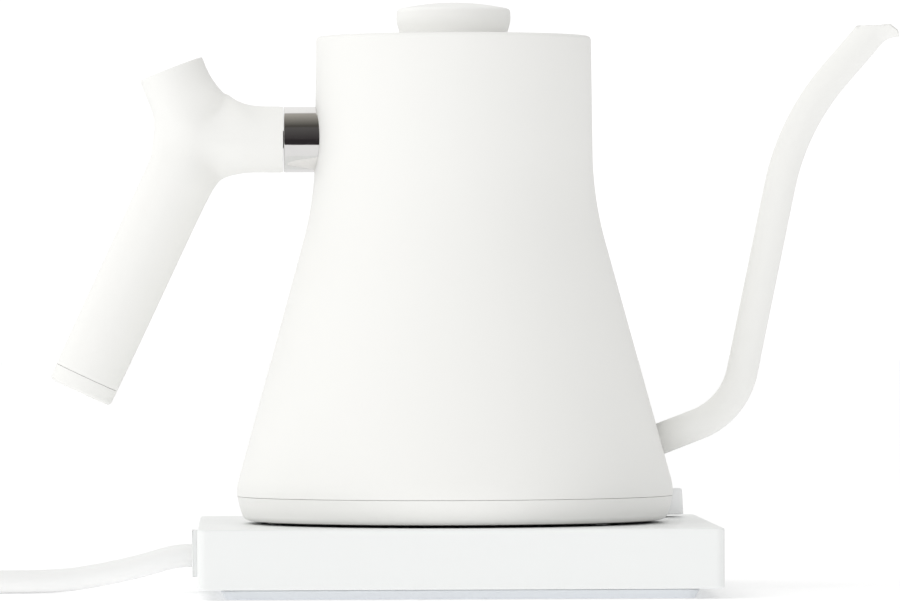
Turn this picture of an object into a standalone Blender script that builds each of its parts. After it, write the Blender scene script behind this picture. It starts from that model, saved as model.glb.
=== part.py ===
"""Electric gooseneck kettle for pour-over coffee, standing on its square powered base.

Metres, +Z up. The origin is on the kettle's turning axis, at the surface that the base
stands on. The spout points along +X, the handle and the mains cord leave along -X, and
the display and the control knob are on the base's +Y side.
"""
import math

import bmesh
import bpy
from mathutils import Matrix, Vector

MM = 0.001
GAP = 0.3 * MM                    # clearance kept between pieces that touch on the real object

LARGE_STEPS = 48                  # segments round the kettle's wide turned pieces
MEDIUM_STEPS = 32
SMALL_STEPS = 16

# Powered base: a square box on an inset foot pad
BASE_HALF_WIDTH = 88.5 * MM
BASE_FRONT = -79.0 * MM
BASE_BACK = 99.0 * MM
BASE_TOP = 23.8 * MM
BASE_BOTTOM = 3.4 * MM
BASE_CORNER = 3.0 * MM
BASE_WALL = 2.0 * MM
FOOT_INSET = 7.9 * MM
FOOT_DRAFT = 1.4 * MM
FOOT_HEIGHT = 3.1 * MM
TRAY_THICKNESS = 2.6 * MM
SCREW_POST_INSET = 8.5 * MM
SCREW_POST_RADIUS = 3.6 * MM

# Kettle body: a steel sheet turned about the Z axis, a near-straight neck on a cone
RIM_Z = 191.5 * MM
RIM_RADIUS = 47.4 * MM
RIM_ROUND = 1.5 * MM
NECK_FOOT_RADIUS = 48.05 * MM
CONE_RADIUS = 53.15 * MM          # the cone's radius at CONE_Z
CONE_Z = 117.0 * MM
CONE_SLOPE = 0.2746               # radius gained for each unit of height going down
SHOULDER_ROUND = 120.0 * MM       # large blend between the neck and the cone
SEAM_Z = 33.2 * MM
SEAM_RADIUS = 75.2 * MM
BODY_WALL = 1.2 * MM
MOUTH_RADIUS = 38.0 * MM
MOUTH_DEPTH = 10.5 * MM
KETTLE_BOTTOM = 24.8 * MM
UNDERSIDE_RADIUS = 68.2 * MM

# Handle: a Y of round limbs that meet on the arm's axis
HUB = Vector((-88.4 * MM, 156.1 * MM))            # X and Z of the limbs' meeting point
HANDLE_RADIUS = 11.35 * MM
STUB_LEAN = math.radians(21.2)                    # from vertical, up and away from the body
STUB_LENGTH = 26.1 * MM
GRIP_LEAN = math.radians(25.1)                    # from vertical, down and away from the body
GRIP_LENGTH = 90.25 * MM
GRIP_RADIUS = 11.9 * MM
GRIP_END_RADIUS = 11.45 * MM
CAP_LENGTH = 5.7 * MM
COLLAR_OUTER_X = -58.65 * MM

# Spout: a slim tube, bent twice, that ends in a flared lip
SPOUT_RADIUS = 5.4 * MM
SPOUT_WALL = 1.0 * MM
SPOUT_STRAIGHT = 20.3 * MM        # plain tube past the last bend, before the lip flares
SPOUT_LIP_REACH = 6.5 * MM        # length of the flared lip, before it is cut
SPOUT_LIP_SLOPE = 0.30            # how steeply the lip ends up flaring
SPOUT_LIP_EASE = 2.0 * MM         # how slowly it gets there
WATERWAY_RADIUS = 5.2 * MM        # the hole in the body behind the spout's foot
SPOUT_ROOT = (60.0 * MM, 48.25 * MM)              # X and Z, inside the body wall
SPOUT_LOW_BEND = (96.6 * MM, 62.3 * MM, 25.0 * MM)        # X, Z and bend radius
SPOUT_HIGH_BEND = (117.05 * MM, 161.1 * MM, 85.0 * MM)
SPOUT_AIM = (150.8 * MM, 200.0 * MM)
SPOUT_MOUTH_Z = 195.0 * MM
SPOUT_TIP_X = 153.8 * MM

# Lid
LID_TOP = 191.2 * MM
LID_RADIUS = 37.4 * MM
LID_KNOB_RADIUS = 19.75 * MM
LID_KNOB_TOP = 203.2 * MM

# Control knob on the base
KNOB_X = 71.6 * MM
KNOB_Y = 66.0 * MM
KNOB_RADIUS = 11.0 * MM
KNOB_BOTTOM = 24.8 * MM
KNOB_TOP = 33.9 * MM

# Mains cord
CORD_RADIUS = 4.0 * MM
CORD_REST_Z = 4.05 * MM           # the cord's centre when it lies on the surface
CORD_EXIT = Vector((-90.7 * MM, 0.0, 12.8 * MM))
COIL_CENTRE = Vector((-218.0 * MM, 44.0 * MM, 0.0))
COIL_RADIUS = 44.0 * MM
COIL_TURNS = 2
PLUG_X = -287.0 * MM
PLUG_Y = 40.0 * MM                # where the cord enters the plug's neck
PLUG_Z = 12.6 * MM
PLUG_NECK = 18.0 * MM
PLUG_LENGTH = 30.0 * MM
PLUG_WIDTH = 27.0 * MM
PLUG_HEIGHT = 25.0 * MM


# ---------------------------------------------------------------- scene and materials

def clear_scene():
    for old in list(bpy.context.scene.objects):
        bpy.data.objects.remove(old, do_unlink=True)


def new_collection(name):
    group = bpy.data.collections.new(name)
    bpy.context.scene.collection.children.link(group)
    return group


clear_scene()
PARTS = new_collection("gooseneck_kettle")
CUTTERS = new_collection("cutters")


def finish(name, colour, roughness, metallic=0.0):
    """A Principled material with the sub-part's colour, roughness and metallic value."""
    made = bpy.data.materials.new(name)
    made.use_nodes = True
    shader = made.node_tree.nodes["Principled BSDF"]
    shader.inputs["Base Color"].default_value = (*colour, 1.0)
    shader.inputs["Roughness"].default_value = roughness
    shader.inputs["Metallic"].default_value = metallic
    made.diffuse_color = (*colour, 1.0)
    return made


WHITE_COAT = finish("white_powder_coat", (0.86, 0.86, 0.85), 0.55)
WHITE_PLASTIC = finish("white_plastic", (0.86, 0.87, 0.87), 0.42)
POLISHED_STEEL = finish("polished_steel", (0.62, 0.61, 0.60), 0.12, 1.0)
BRUSHED_STEEL = finish("brushed_steel", (0.55, 0.55, 0.54), 0.35, 1.0)
ALUMINIUM = finish("aluminium", (0.76, 0.77, 0.78), 0.4, 1.0)
BRASS = finish("brass", (0.78, 0.60, 0.30), 0.3, 1.0)
BLACK_PLASTIC = finish("black_plastic", (0.02, 0.02, 0.022), 0.5)
GREY_RUBBER = finish("grey_silicone", (0.70, 0.73, 0.77), 0.7)
DARK_GLASS = finish("dark_window", (0.01, 0.01, 0.012), 0.08)
BOARD_GREEN = finish("circuit_board", (0.03, 0.20, 0.09), 0.5)
CORD_WHITE = finish("cord_white", (0.84, 0.84, 0.84), 0.48)


# ---------------------------------------------------------------- modelling helpers

def add_object(name, data, look, place=(0.0, 0.0, 0.0), turn=(0.0, 0.0, 0.0), parent=None):
    """Put a piece in the kettle's collection, or a cutter, which has no look, in its own."""
    made = bpy.data.objects.new(name, data)
    made.location = place
    made.rotation_euler = turn
    made.parent = parent
    if look is None:
        made.hide_render = True
        made.display_type = "WIRE"
        CUTTERS.objects.link(made)
    else:
        data.materials.append(look)
        PARTS.objects.link(made)
    return made


def from_bmesh(name, shape, look, place=(0.0, 0.0, 0.0), turn=(0.0, 0.0, 0.0), parent=None):
    data = bpy.data.meshes.new(name)
    shape.to_mesh(data)
    shape.free()
    return add_object(name, data, look, place, turn, parent)


def smooth(piece, angle=30.0):
    piece.data.shade_smooth()
    piece.data.set_sharp_from_angle(angle=math.radians(angle))


def axis_empty(name, place):
    """An empty on a joint's axis, for the pieces that turn or slide there."""
    guide = bpy.data.objects.new(name, None)
    guide.location = place
    PARTS.objects.link(guide)
    return guide


def rounded_line(corners, step=math.radians(12.0)):
    """The line through corners (u, v, radius), with an arc at each corner that has a radius."""
    line = []
    last = len(corners) - 1
    for index, corner in enumerate(corners):
        here = Vector(corner[:2])
        radius = corner[2] if len(corner) > 2 else 0.0
        if radius == 0.0 or index in (0, last):
            line.append(here)
            continue
        back = (Vector(corners[index - 1][:2]) - here).normalized()
        ahead = (Vector(corners[index + 1][:2]) - here).normalized()
        turn = math.pi - back.angle(ahead)
        centre = here + (back + ahead).normalized() * radius / math.cos(turn / 2)
        arm = here + back * radius * math.tan(turn / 2) - centre
        side = 1.0 if back.y * ahead.x - back.x * ahead.y > 0.0 else -1.0
        pieces = max(1, math.ceil(turn / step))
        for count in range(pieces + 1):
            line.append(centre + arm @ Matrix.Rotation(-side * turn * count / pieces, 2))
    return line


def turned(name, profile, look, steps, closed=False, wall=0.0,
           place=(0.0, 0.0, 0.0), turn=(0.0, 0.0, 0.0), parent=None):
    """Turn a profile of (radius, height) points about Z; a wall makes it a sheet."""
    shape = bmesh.new()
    points = [shape.verts.new((point[0], 0.0, point[1])) for point in profile]
    for first, second in zip(points, points[1:]):
        shape.edges.new((first, second))
    if closed:
        shape.edges.new((points[-1], points[0]))
    made = from_bmesh(name, shape, look, place, turn, parent)
    spin = made.modifiers.new("turn", "SCREW")
    spin.axis = "Z"
    spin.steps = steps
    spin.render_steps = steps
    spin.use_merge_vertices = True
    spin.merge_threshold = 0.00005
    spin.use_smooth_shade = True
    if wall:
        sheet = made.modifiers.new("sheet", "SOLIDIFY")
        sheet.thickness = wall
        sheet.offset = -1.0
        sheet.use_even_offset = True
    return made


def ring(name, inner, outer, bottom, top, look, steps, **placed):
    """A plain turned ring with a square section."""
    section = [(inner, top), (outer, top), (outer, bottom), (inner, bottom)]
    return turned(name, section, look, steps, closed=True, **placed)


def cylinder(name, radius, bottom, top, look, steps=SMALL_STEPS, place=(0.0, 0.0),
             parent=None):
    """An upright cylinder at a place in X and Y."""
    shape = bmesh.new()
    bmesh.ops.create_cone(shape, cap_ends=True, segments=steps, radius1=radius,
                          radius2=radius, depth=top - bottom)
    bmesh.ops.translate(shape, verts=shape.verts, vec=(0.0, 0.0, (top + bottom) / 2))
    made = from_bmesh(name, shape, look, (place[0], place[1], 0.0), parent=parent)
    smooth(made)
    return made


def rod(name, radius, start, end, look, steps=SMALL_STEPS):
    """A round rod between two points."""
    axis = Vector(end) - Vector(start)
    shape = bmesh.new()
    bmesh.ops.create_cone(shape, cap_ends=True, segments=steps, radius1=radius,
                          radius2=radius, depth=axis.length)
    made = from_bmesh(name, shape, look, (Vector(start) + Vector(end)) / 2,
                      axis.to_track_quat("Z", "Y").to_euler())
    smooth(made)
    return made


def box(name, low, high, look, corner=0.0, draft=0.0, edge=0.0, open_below=False, parent=None):
    """A box between two corners, its upright edges rounded and its foot drawn in by a draft."""
    low = Vector(low)
    high = Vector(high)
    shape = bmesh.new()
    bmesh.ops.create_cube(shape, size=1.0)
    bmesh.ops.scale(shape, verts=shape.verts, vec=high - low)
    if corner:
        upright = [e for e in shape.edges
                   if abs(e.verts[0].co.z - e.verts[1].co.z) > (high - low).z / 2]
        bmesh.ops.bevel(shape, geom=upright, offset=corner, segments=3, profile=0.5,
                        affect="EDGES", material=-1)
    if edge:
        top = max(vert.co.z for vert in shape.verts)
        crown = [e for e in shape.edges if min(v.co.z for v in e.verts) > top - 1e-6]
        bmesh.ops.bevel(shape, geom=crown, offset=edge, segments=2, profile=0.5,
                        affect="EDGES", material=-1)
    if draft:
        for vert in shape.verts:
            if vert.co.z < 0.0:
                vert.co.x -= math.copysign(draft, vert.co.x)
                vert.co.y -= math.copysign(draft, vert.co.y)
    if open_below:
        floor = min(shape.faces, key=lambda face: face.calc_center_median().z)
        bmesh.ops.delete(shape, geom=[floor], context="FACES_ONLY")
    place = (low + high) / 2
    if parent:
        place -= parent.location
    made = from_bmesh(name, shape, look, place, parent=parent)
    smooth(made, 35.0)
    return made


def tube(name, points, radius, look, resolution=2, radii=None):
    """A round tube along a list of points, with closed ends."""
    path = bpy.data.curves.new(name, "CURVE")
    path.dimensions = "3D"
    path.bevel_depth = radius
    path.bevel_resolution = resolution
    path.use_fill_caps = True
    spline = path.splines.new("POLY")
    spline.points.add(len(points) - 1)
    for index, point in enumerate(points):
        spline.points[index].co = (*point, 1.0)
        if radii:
            spline.points[index].radius = radii[index] / radius
    return add_object(name, path, look)


def as_mesh(curve_piece):
    """Make a tube a mesh with welded caps, so that it can be cut."""
    name = curve_piece.name
    is_cutter = curve_piece.hide_render
    look = None if is_cutter else curve_piece.data.materials[0]
    evaluated = curve_piece.evaluated_get(bpy.context.evaluated_depsgraph_get())
    data = bpy.data.meshes.new_from_object(evaluated)
    data.materials.clear()
    place = curve_piece.matrix_world.copy()
    bpy.data.objects.remove(curve_piece, do_unlink=True)
    shape = bmesh.new()
    shape.from_mesh(data)
    bmesh.ops.remove_doubles(shape, verts=shape.verts, dist=1e-6)
    bmesh.ops.recalc_face_normals(shape, faces=shape.faces)
    shape.to_mesh(data)
    shape.free()
    made = add_object(name, data, look)
    made.matrix_world = place
    smooth(made, 40.0)
    return made


def cut(piece, cutter, operation="DIFFERENCE", solver="EXACT"):
    step = piece.modifiers.new(cutter.name, "BOOLEAN")
    step.operation = operation
    step.solver = solver
    step.object = cutter
    return piece


def hole(piece, name, radius, bottom, top, place, steps=SMALL_STEPS):
    """Cut an upright round hole."""
    return cut(piece, cylinder(name, radius, bottom, top, None, steps, place))


def behind_plane(name, point, direction, size):
    """A cube with one face on the point, reaching away along the direction."""
    direction = Vector(direction).normalized()
    shape = bmesh.new()
    bmesh.ops.create_cube(shape, size=size)
    return from_bmesh(name, shape, None, Vector(point) + direction * size / 2,
                      direction.to_track_quat("Z", "Y").to_euler())


def smooth_route(points, spacing):
    """Points at an even spacing on the Catmull-Rom curve through the given points."""
    points = [Vector(point) for point in points]
    ends = [points[0] * 2 - points[1], *points, points[-1] * 2 - points[-2]]
    fine = []
    for a, b, c, d in zip(ends, ends[1:], ends[2:], ends[3:]):
        for count in range(24):
            t = count / 24
            fine.append((b * 2 + (c - a) * t + (a * 2 - b * 5 + c * 4 - d) * t ** 2
                         + (b * 3 - a - c * 3 + d) * t ** 3) / 2)
    fine.append(points[-1])
    lengths = [0.0]
    for first, second in zip(fine, fine[1:]):
        lengths.append(lengths[-1] + (second - first).length)
    pieces = max(2, round(lengths[-1] / spacing))
    even = []
    index = 0
    for count in range(pieces + 1):
        wanted = lengths[-1] * count / pieces
        while index < len(fine) - 2 and lengths[index + 1] < wanted:
            index += 1
        share = (wanted - lengths[index]) / (lengths[index + 1] - lengths[index])
        even.append(fine[index].lerp(fine[index + 1], share))
    return even


# ---------------------------------------------------------------- kettle body and underside

def body_profile(grow=0.0):
    """The body's outer line, from the mouth's rolled lip over the rim and down to the seam."""
    cone_top = CONE_Z + (CONE_RADIUS - NECK_FOOT_RADIUS) / CONE_SLOPE
    cone_foot = CONE_Z - (SEAM_RADIUS - CONE_RADIUS) / CONE_SLOPE
    return [
        (RIM_RADIUS + grow, RIM_Z, RIM_ROUND),
        (NECK_FOOT_RADIUS + grow, cone_top, SHOULDER_ROUND),
        (SEAM_RADIUS + grow, cone_foot, 18.0 * MM),
        (SEAM_RADIUS + grow, SEAM_Z + GAP / 2),
    ]


def make_body():
    lip = [(MOUTH_RADIUS, RIM_Z - MOUTH_DEPTH), (MOUTH_RADIUS, RIM_Z, 1.6 * MM)]
    rim = rounded_line(lip + body_profile()[:1] + [(NECK_FOOT_RADIUS, CONE_Z)], math.radians(30.0))
    wall = rounded_line(body_profile(), math.radians(5.0))
    body = turned("kettle_body", rim[:-1] + wall[1:], WHITE_COAT, LARGE_STEPS, wall=BODY_WALL)
    waterway = rod("spout_waterway", WATERWAY_RADIUS, spout_point(SPOUT_ROOT),
                   spout_point(SPOUT_LOW_BEND), None)
    return cut(body, waterway)


def make_bottom_cover():
    line = rounded_line([
        (75.05 * MM, SEAM_Z - GAP / 2),
        (74.2 * MM, 29.0 * MM, 15.0 * MM),
        (72.6 * MM, KETTLE_BOTTOM, 3.0 * MM),
        (UNDERSIDE_RADIUS + GAP, KETTLE_BOTTOM),
    ], math.radians(35.0))
    return turned("bottom_cover", line, WHITE_COAT, LARGE_STEPS, wall=1.5 * MM)


UNDERSIDE_BOTTOM = 24.5 * MM
UNDERSIDE_TOP = 26.1 * MM
FOOT_CIRCLE = 64.0 * MM
SCREW_CIRCLE = 55.5 * MM
CONNECTOR_RADIUS = 15.5 * MM
HEATER_BOTTOM = 37.6 * MM
PROBE_X = 22.0 * MM


def around(radius, degrees):
    """A place in X and Y at a radius and a bearing."""
    return radius * math.cos(math.radians(degrees)), radius * math.sin(math.radians(degrees))


def make_underside():
    """The black plate that closes the kettle from below, with its feet and screws."""
    plate = ring("underside_plate", CONNECTOR_RADIUS + GAP, UNDERSIDE_RADIUS,
                 UNDERSIDE_BOTTOM, UNDERSIDE_TOP, BLACK_PLASTIC, LARGE_STEPS)
    for number, bearing in enumerate((198.0, 318.0, 78.0), 1):
        place = around(FOOT_CIRCLE, bearing)
        hole(plate, f"foot_hole_{number}", 3.5 * MM, 20 * MM, 30 * MM, place)
        cylinder(f"kettle_foot_{number}", 3.2 * MM, BASE_TOP + GAP, 27.0 * MM, GREY_RUBBER,
                 place=place)
    for number, bearing in enumerate((30.0, 150.0, 270.0), 1):
        place = around(SCREW_CIRCLE, bearing)
        hole(plate, f"screw_hole_{number}", 1.7 * MM, 20 * MM, 30 * MM, place)
        cylinder(f"underside_screw_{number}", 1.4 * MM, UNDERSIDE_BOTTOM, 36.0 * MM,
                 BRUSHED_STEEL, 12, place)


def make_heater():
    """The steel floor of the kettle, and what is fixed under it."""
    floor = turned("heater_plate", [(0.0, 38.8 * MM), (73.0 * MM, 38.8 * MM),
                                    (73.0 * MM, HEATER_BOTTOM), (0.0, HEATER_BOTTOM)],
                   BRUSHED_STEEL, LARGE_STEPS)
    spreader = turned("heat_spreader", [(0.0, 37.3 * MM), (52.0 * MM, 37.3 * MM),
                                        (52.0 * MM, 34.2 * MM), (0.0, 34.2 * MM)],
                      ALUMINIUM, MEDIUM_STEPS)
    for plate in (floor, spreader):
        hole(plate, f"{plate.name}_probe_hole", 2.8 * MM, 30 * MM, 45 * MM, (PROBE_X, 0.0))
    cylinder("temperature_probe", 2.5 * MM, 30.0 * MM, 42.0 * MM, POLISHED_STEEL,
             place=(PROBE_X, 0.0))
    loop = [(*around(40.0 * MM, bearing), 31.2 * MM) for bearing in range(20, 341, 16)]
    tube("heating_element", loop, 2.6 * MM, BRUSHED_STEEL)
    cylinder("dry_boil_cutout", 12.0 * MM, 31.6 * MM, 33.9 * MM, WHITE_PLASTIC,
             MEDIUM_STEPS)


def make_connectors():
    """The round power connector: a cup on the kettle that drops over a post on the base."""
    turned("kettle_connector", [
        (1.8 * MM, 31.3 * MM), (CONNECTOR_RADIUS, 31.3 * MM),
        (CONNECTOR_RADIUS, UNDERSIDE_BOTTOM), (9.8 * MM, UNDERSIDE_BOTTOM),
        (9.8 * MM, 29.6 * MM), (6.6 * MM, 29.6 * MM), (6.6 * MM, 30.4 * MM),
        (4.9 * MM, 30.4 * MM), (4.9 * MM, 29.6 * MM), (1.8 * MM, 29.6 * MM),
    ], WHITE_PLASTIC, MEDIUM_STEPS, closed=True)
    cylinder("kettle_contact_pin", 1.3 * MM, 22.0 * MM, 31.0 * MM, BRASS)
    ring("kettle_contact_ring", 5.2 * MM, 6.3 * MM, 24.0 * MM, 30.1 * MM, BRASS, MEDIUM_STEPS)
    turned("base_socket", [
        (3.3 * MM, 29.3 * MM), (4.3 * MM, 29.3 * MM), (4.3 * MM, 20.0 * MM),
        (8.2 * MM, 20.0 * MM), (8.2 * MM, 29.3 * MM), (9.4 * MM, 28.9 * MM),
        (9.4 * MM, BASE_TOP), (CONNECTOR_RADIUS, BASE_TOP), (CONNECTOR_RADIUS, 12.0 * MM),
        (3.3 * MM, 12.0 * MM),
    ], BLACK_PLASTIC, MEDIUM_STEPS, closed=True)
    ring("base_contact_inner", 1.7 * MM, 3.0 * MM, 16.0 * MM, 28.6 * MM, BRASS, SMALL_STEPS)
    ring("base_contact_outer", 6.7 * MM, 7.9 * MM, 20.3 * MM, 28.6 * MM, BRASS, MEDIUM_STEPS)


# ---------------------------------------------------------------- spout

def spout_point(place):
    """A place given in X and Z on the kettle's middle plane."""
    return Vector((place[0], 0.0, place[1]))


def make_spout():
    line = [spout_point(p) for p in rounded_line(
        [SPOUT_ROOT, SPOUT_LOW_BEND, SPOUT_HIGH_BEND, SPOUT_AIM], math.radians(7.0))]
    # past a straight stretch, the lip flares and turns over towards the pouring side
    run = (line[-1] - line[-2]).normalized()
    outward = Vector((run.z, 0.0, -run.x))
    mouth = line[-2] + run * SPOUT_STRAIGHT
    flare = [SPOUT_LIP_REACH * count / 5 for count in range(6)]
    turn_over = [SPOUT_LIP_SLOPE * reach ** 2 / (reach + SPOUT_LIP_EASE) for reach in flare]
    line[-1:] = [mouth + run * reach + outward * extra for reach, extra in zip(flare, turn_over)]
    radii = [SPOUT_RADIUS] * (len(line) - len(flare))
    radii += [SPOUT_RADIUS + extra for extra in turn_over]
    outer = as_mesh(tube("spout", line, SPOUT_RADIUS, WHITE_COAT, 4, radii))
    line[0] -= (line[1] - line[0]).normalized() * 2.0 * MM
    line[-1] += run * 2.0 * MM
    bore = as_mesh(tube("spout_bore", line, SPOUT_RADIUS - SPOUT_WALL, None, 4,
                        [radius - SPOUT_WALL for radius in radii]))
    level = behind_plane("spout_mouth_cut", (140 * MM, 0.0, SPOUT_MOUTH_Z), (0, 0, 1), 60 * MM)
    slope = behind_plane("spout_lip_cut", (SPOUT_TIP_X, 0.0, 192.2 * MM), (1, 0, 1.2), 40 * MM)
    front = behind_plane("spout_tip_cut", (SPOUT_TIP_X, 0.0, 190.0 * MM), (1, 0, 0), 40 * MM)
    for cutter in (bore, level, slope, front, body_clearance()):
        cut(outer, cutter, solver="MANIFOLD")
    return outer


def body_clearance():
    """A solid a gap larger than the body, for trimming what is fixed to its outside."""
    known = CUTTERS.objects.get("body_clearance")
    if known:
        return known
    line = rounded_line(body_profile(GAP), math.radians(3.7))
    return turned("body_clearance", [Vector((0.0, RIM_Z)), *line, Vector((0.0, SEAM_Z))],
                  None, 96)


# ---------------------------------------------------------------- handle

CAGE_ROUNDS = 60                  # enough for the cage to settle


def limit_point(vert):
    """Where repeated subdivision takes a cage's vertex, where all its faces have four sides."""
    count = len(vert.link_edges)
    near = sum((edge.other_vert(vert).co for edge in vert.link_edges), Vector())
    far = Vector()
    for face in vert.link_faces:
        beside = {v for edge in vert.link_edges for v in edge.verts}
        far += sum((v.co for v in face.verts if v not in beside), Vector())
    return (vert.co * count ** 2 + near * 4 + far) / (count * (count + 5))


def branch_cage(limbs, webs, hub, hub_depth):
    """A closed cage of four-sided faces for round limbs that meet in one plane.

    The limbs go round the hub clockwise as seen from -Y. Each one is its direction in X and
    Z and its rings, and each ring is (distance from the hub, reach to the left, reach to the
    right, half depth), with the sides as seen when looking along the limb from the hub. Each
    web, between one limb and the next, is (reach from the hub, share of it at the half-way
    point, depth there). The cage is drawn out until its subdivided surface passes through
    the points asked for.
    """
    shape = bmesh.new()
    aims = {}

    def point(place, depth, aimed=True):
        vert = shape.verts.new((place.x, -depth, place.y))
        if aimed:
            aims[vert] = vert.co.copy()
        return vert

    front = point(hub, hub_depth)
    rear = point(hub, -hub_depth)
    first_rings = []
    for direction, stations in limbs:
        left = Vector((-direction.y, direction.x))
        below = None
        for number, (distance, reach_left, reach_right, depth) in enumerate(stations):
            loop = []
            aimed = number < len(stations) - 1
            for eighth in range(8):
                angle = math.radians(45.0 * eighth)
                reach = reach_left if math.cos(angle) > 0 else reach_right
                place = hub + direction * distance + left * reach * math.cos(angle)
                loop.append(point(place, depth * math.sin(angle), aimed))
            if below:
                for index in range(8):
                    after = (index + 1) % 8
                    shape.faces.new((below[index], below[after], loop[after], loop[index]))
            else:
                first_rings.append(loop)
            below = loop
        shape.faces.new(below)
    for index, (reach, share, depth) in enumerate(webs):
        here = first_rings[index]
        after = first_rings[(index + 1) % len(limbs)]
        bisector = (limbs[index][0] + limbs[(index + 1) % len(limbs)][0]).normalized()
        edge = point(hub + bisector * reach, 0.0)
        for side, centre, quarter, mirrored in ((1, front, 2, False), (-1, rear, 6, True)):
            middle = point(hub + bisector * reach * share, side * depth)
            right_mid = 3 if side > 0 else 5
            left_mid = 1 if side > 0 else 7
            quads = [(centre, here[quarter], here[right_mid], middle),
                     (middle, here[right_mid], here[4], edge),
                     (centre, middle, after[left_mid], after[quarter]),
                     (middle, edge, after[0], after[left_mid])]
            for quad in quads:
                shape.faces.new(quad if not mirrored else quad[::-1])
    bmesh.ops.recalc_face_normals(shape, faces=shape.faces)
    for _ in range(CAGE_ROUNDS):
        pulls = {vert: aim - limit_point(vert) for vert, aim in aims.items()}
        for vert, pull in pulls.items():
            vert.co += pull
    return shape


def handle_axes():
    stub = Vector((-math.sin(STUB_LEAN), math.cos(STUB_LEAN)))
    grip = Vector((-math.sin(GRIP_LEAN), -math.cos(GRIP_LEAN)))
    return stub, grip


def handle_cage():
    """The Y-shaped grip. Its stub, arm and grip limbs follow each other clockwise."""
    stub, grip = handle_axes()
    arm = Vector((1.0, 0.0))
    r = HANDLE_RADIUS
    limbs = [
        (stub, [(12.5 * MM, 11.4 * MM, 14.0 * MM, r), (19.5 * MM, 11.1 * MM, 12.1 * MM, r),
                (STUB_LENGTH, 11.0 * MM, 11.8 * MM, r), (34.0 * MM, r, r, r)]),
        (arm, [(13.5 * MM, 13.6 * MM, 12.0 * MM, r), (20.0 * MM, 11.7 * MM, r, r),
               (29.3 * MM, r, r, r), (38.0 * MM, r, r, r)]),
        (grip, [(12.0 * MM, 12.4 * MM, 12.3 * MM, GRIP_RADIUS),
                (22.0 * MM, 11.8 * MM, 12.0 * MM, GRIP_RADIUS),
                (55.0 * MM, 11.7 * MM, 11.8 * MM, 11.7 * MM),
                (GRIP_LENGTH, 11.4 * MM, 11.5 * MM, GRIP_END_RADIUS),
                (100.0 * MM, 11.4 * MM, 11.4 * MM, 11.4 * MM)]),
    ]
    webs = [(18.8 * MM, 0.66, 6.9 * MM), (16.1 * MM, 0.69, 7.0 * MM), (15.3 * MM, 0.70, 7.4 * MM)]
    return branch_cage(limbs, webs, HUB, 11.5 * MM)


def make_handle():
    stub, grip = handle_axes()
    handle = from_bmesh("handle_grip", handle_cage(), WHITE_PLASTIC)
    finer = handle.modifiers.new("smooth", "SUBSURF")
    finer.levels = 2
    finer.render_levels = 2
    handle.data.shade_smooth()
    arm_end = COLLAR_OUTER_X - GAP
    hub = spout_point(HUB)
    seam = hub + spout_point(grip) * GRIP_LENGTH
    cut(handle, behind_plane("arm_end_cut", (arm_end, 0.0, HUB.y), (1, 0, 0), 50 * MM))
    cut(handle, behind_plane("stub_end_cut", hub + spout_point(stub) * STUB_LENGTH,
                             spout_point(stub), 50 * MM))
    cut(handle, behind_plane("grip_end_cut", seam, spout_point(grip), 50 * MM))
    cut(handle, rod("arm_bore", 3.3 * MM, (-81.0 * MM, 0.0, HUB.y), (-50.0 * MM, 0.0, HUB.y), None))
    cut(handle, rod("grip_bore", 8.3 * MM, hub + spout_point(grip) * 24 * MM,
                    hub + spout_point(grip) * 100 * MM, None, 24))
    turned("handle_end_cap", rounded_line([
        (0.0, -10.0 * MM), (8.0 * MM, -10.0 * MM), (8.0 * MM, GAP),
        (GRIP_END_RADIUS, GAP), (11.3 * MM, CAP_LENGTH, 1.3 * MM), (0.0, CAP_LENGTH),
    ], math.radians(30.0))[::-1], WHITE_PLASTIC, MEDIUM_STEPS, place=seam,
           turn=(0.0, GRIP_LEAN - math.pi, 0.0))
    rod("handle_stud", 3.0 * MM, (-80.5 * MM, 0.0, HUB.y), (-48.9 * MM, 0.0, HUB.y),
        POLISHED_STEEL)
    collar = turned("handle_collar", [(8.2 * MM, 15.0 * MM), (HANDLE_RADIUS, 15.0 * MM),
                                      (HANDLE_RADIUS, 0.0), (8.2 * MM, 0.0)],
                    POLISHED_STEEL, MEDIUM_STEPS, closed=True,
                    place=(COLLAR_OUTER_X, 0.0, HUB.y), turn=(0.0, math.radians(90.0), 0.0))
    return cut(collar, body_clearance())


# ---------------------------------------------------------------- lid

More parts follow.
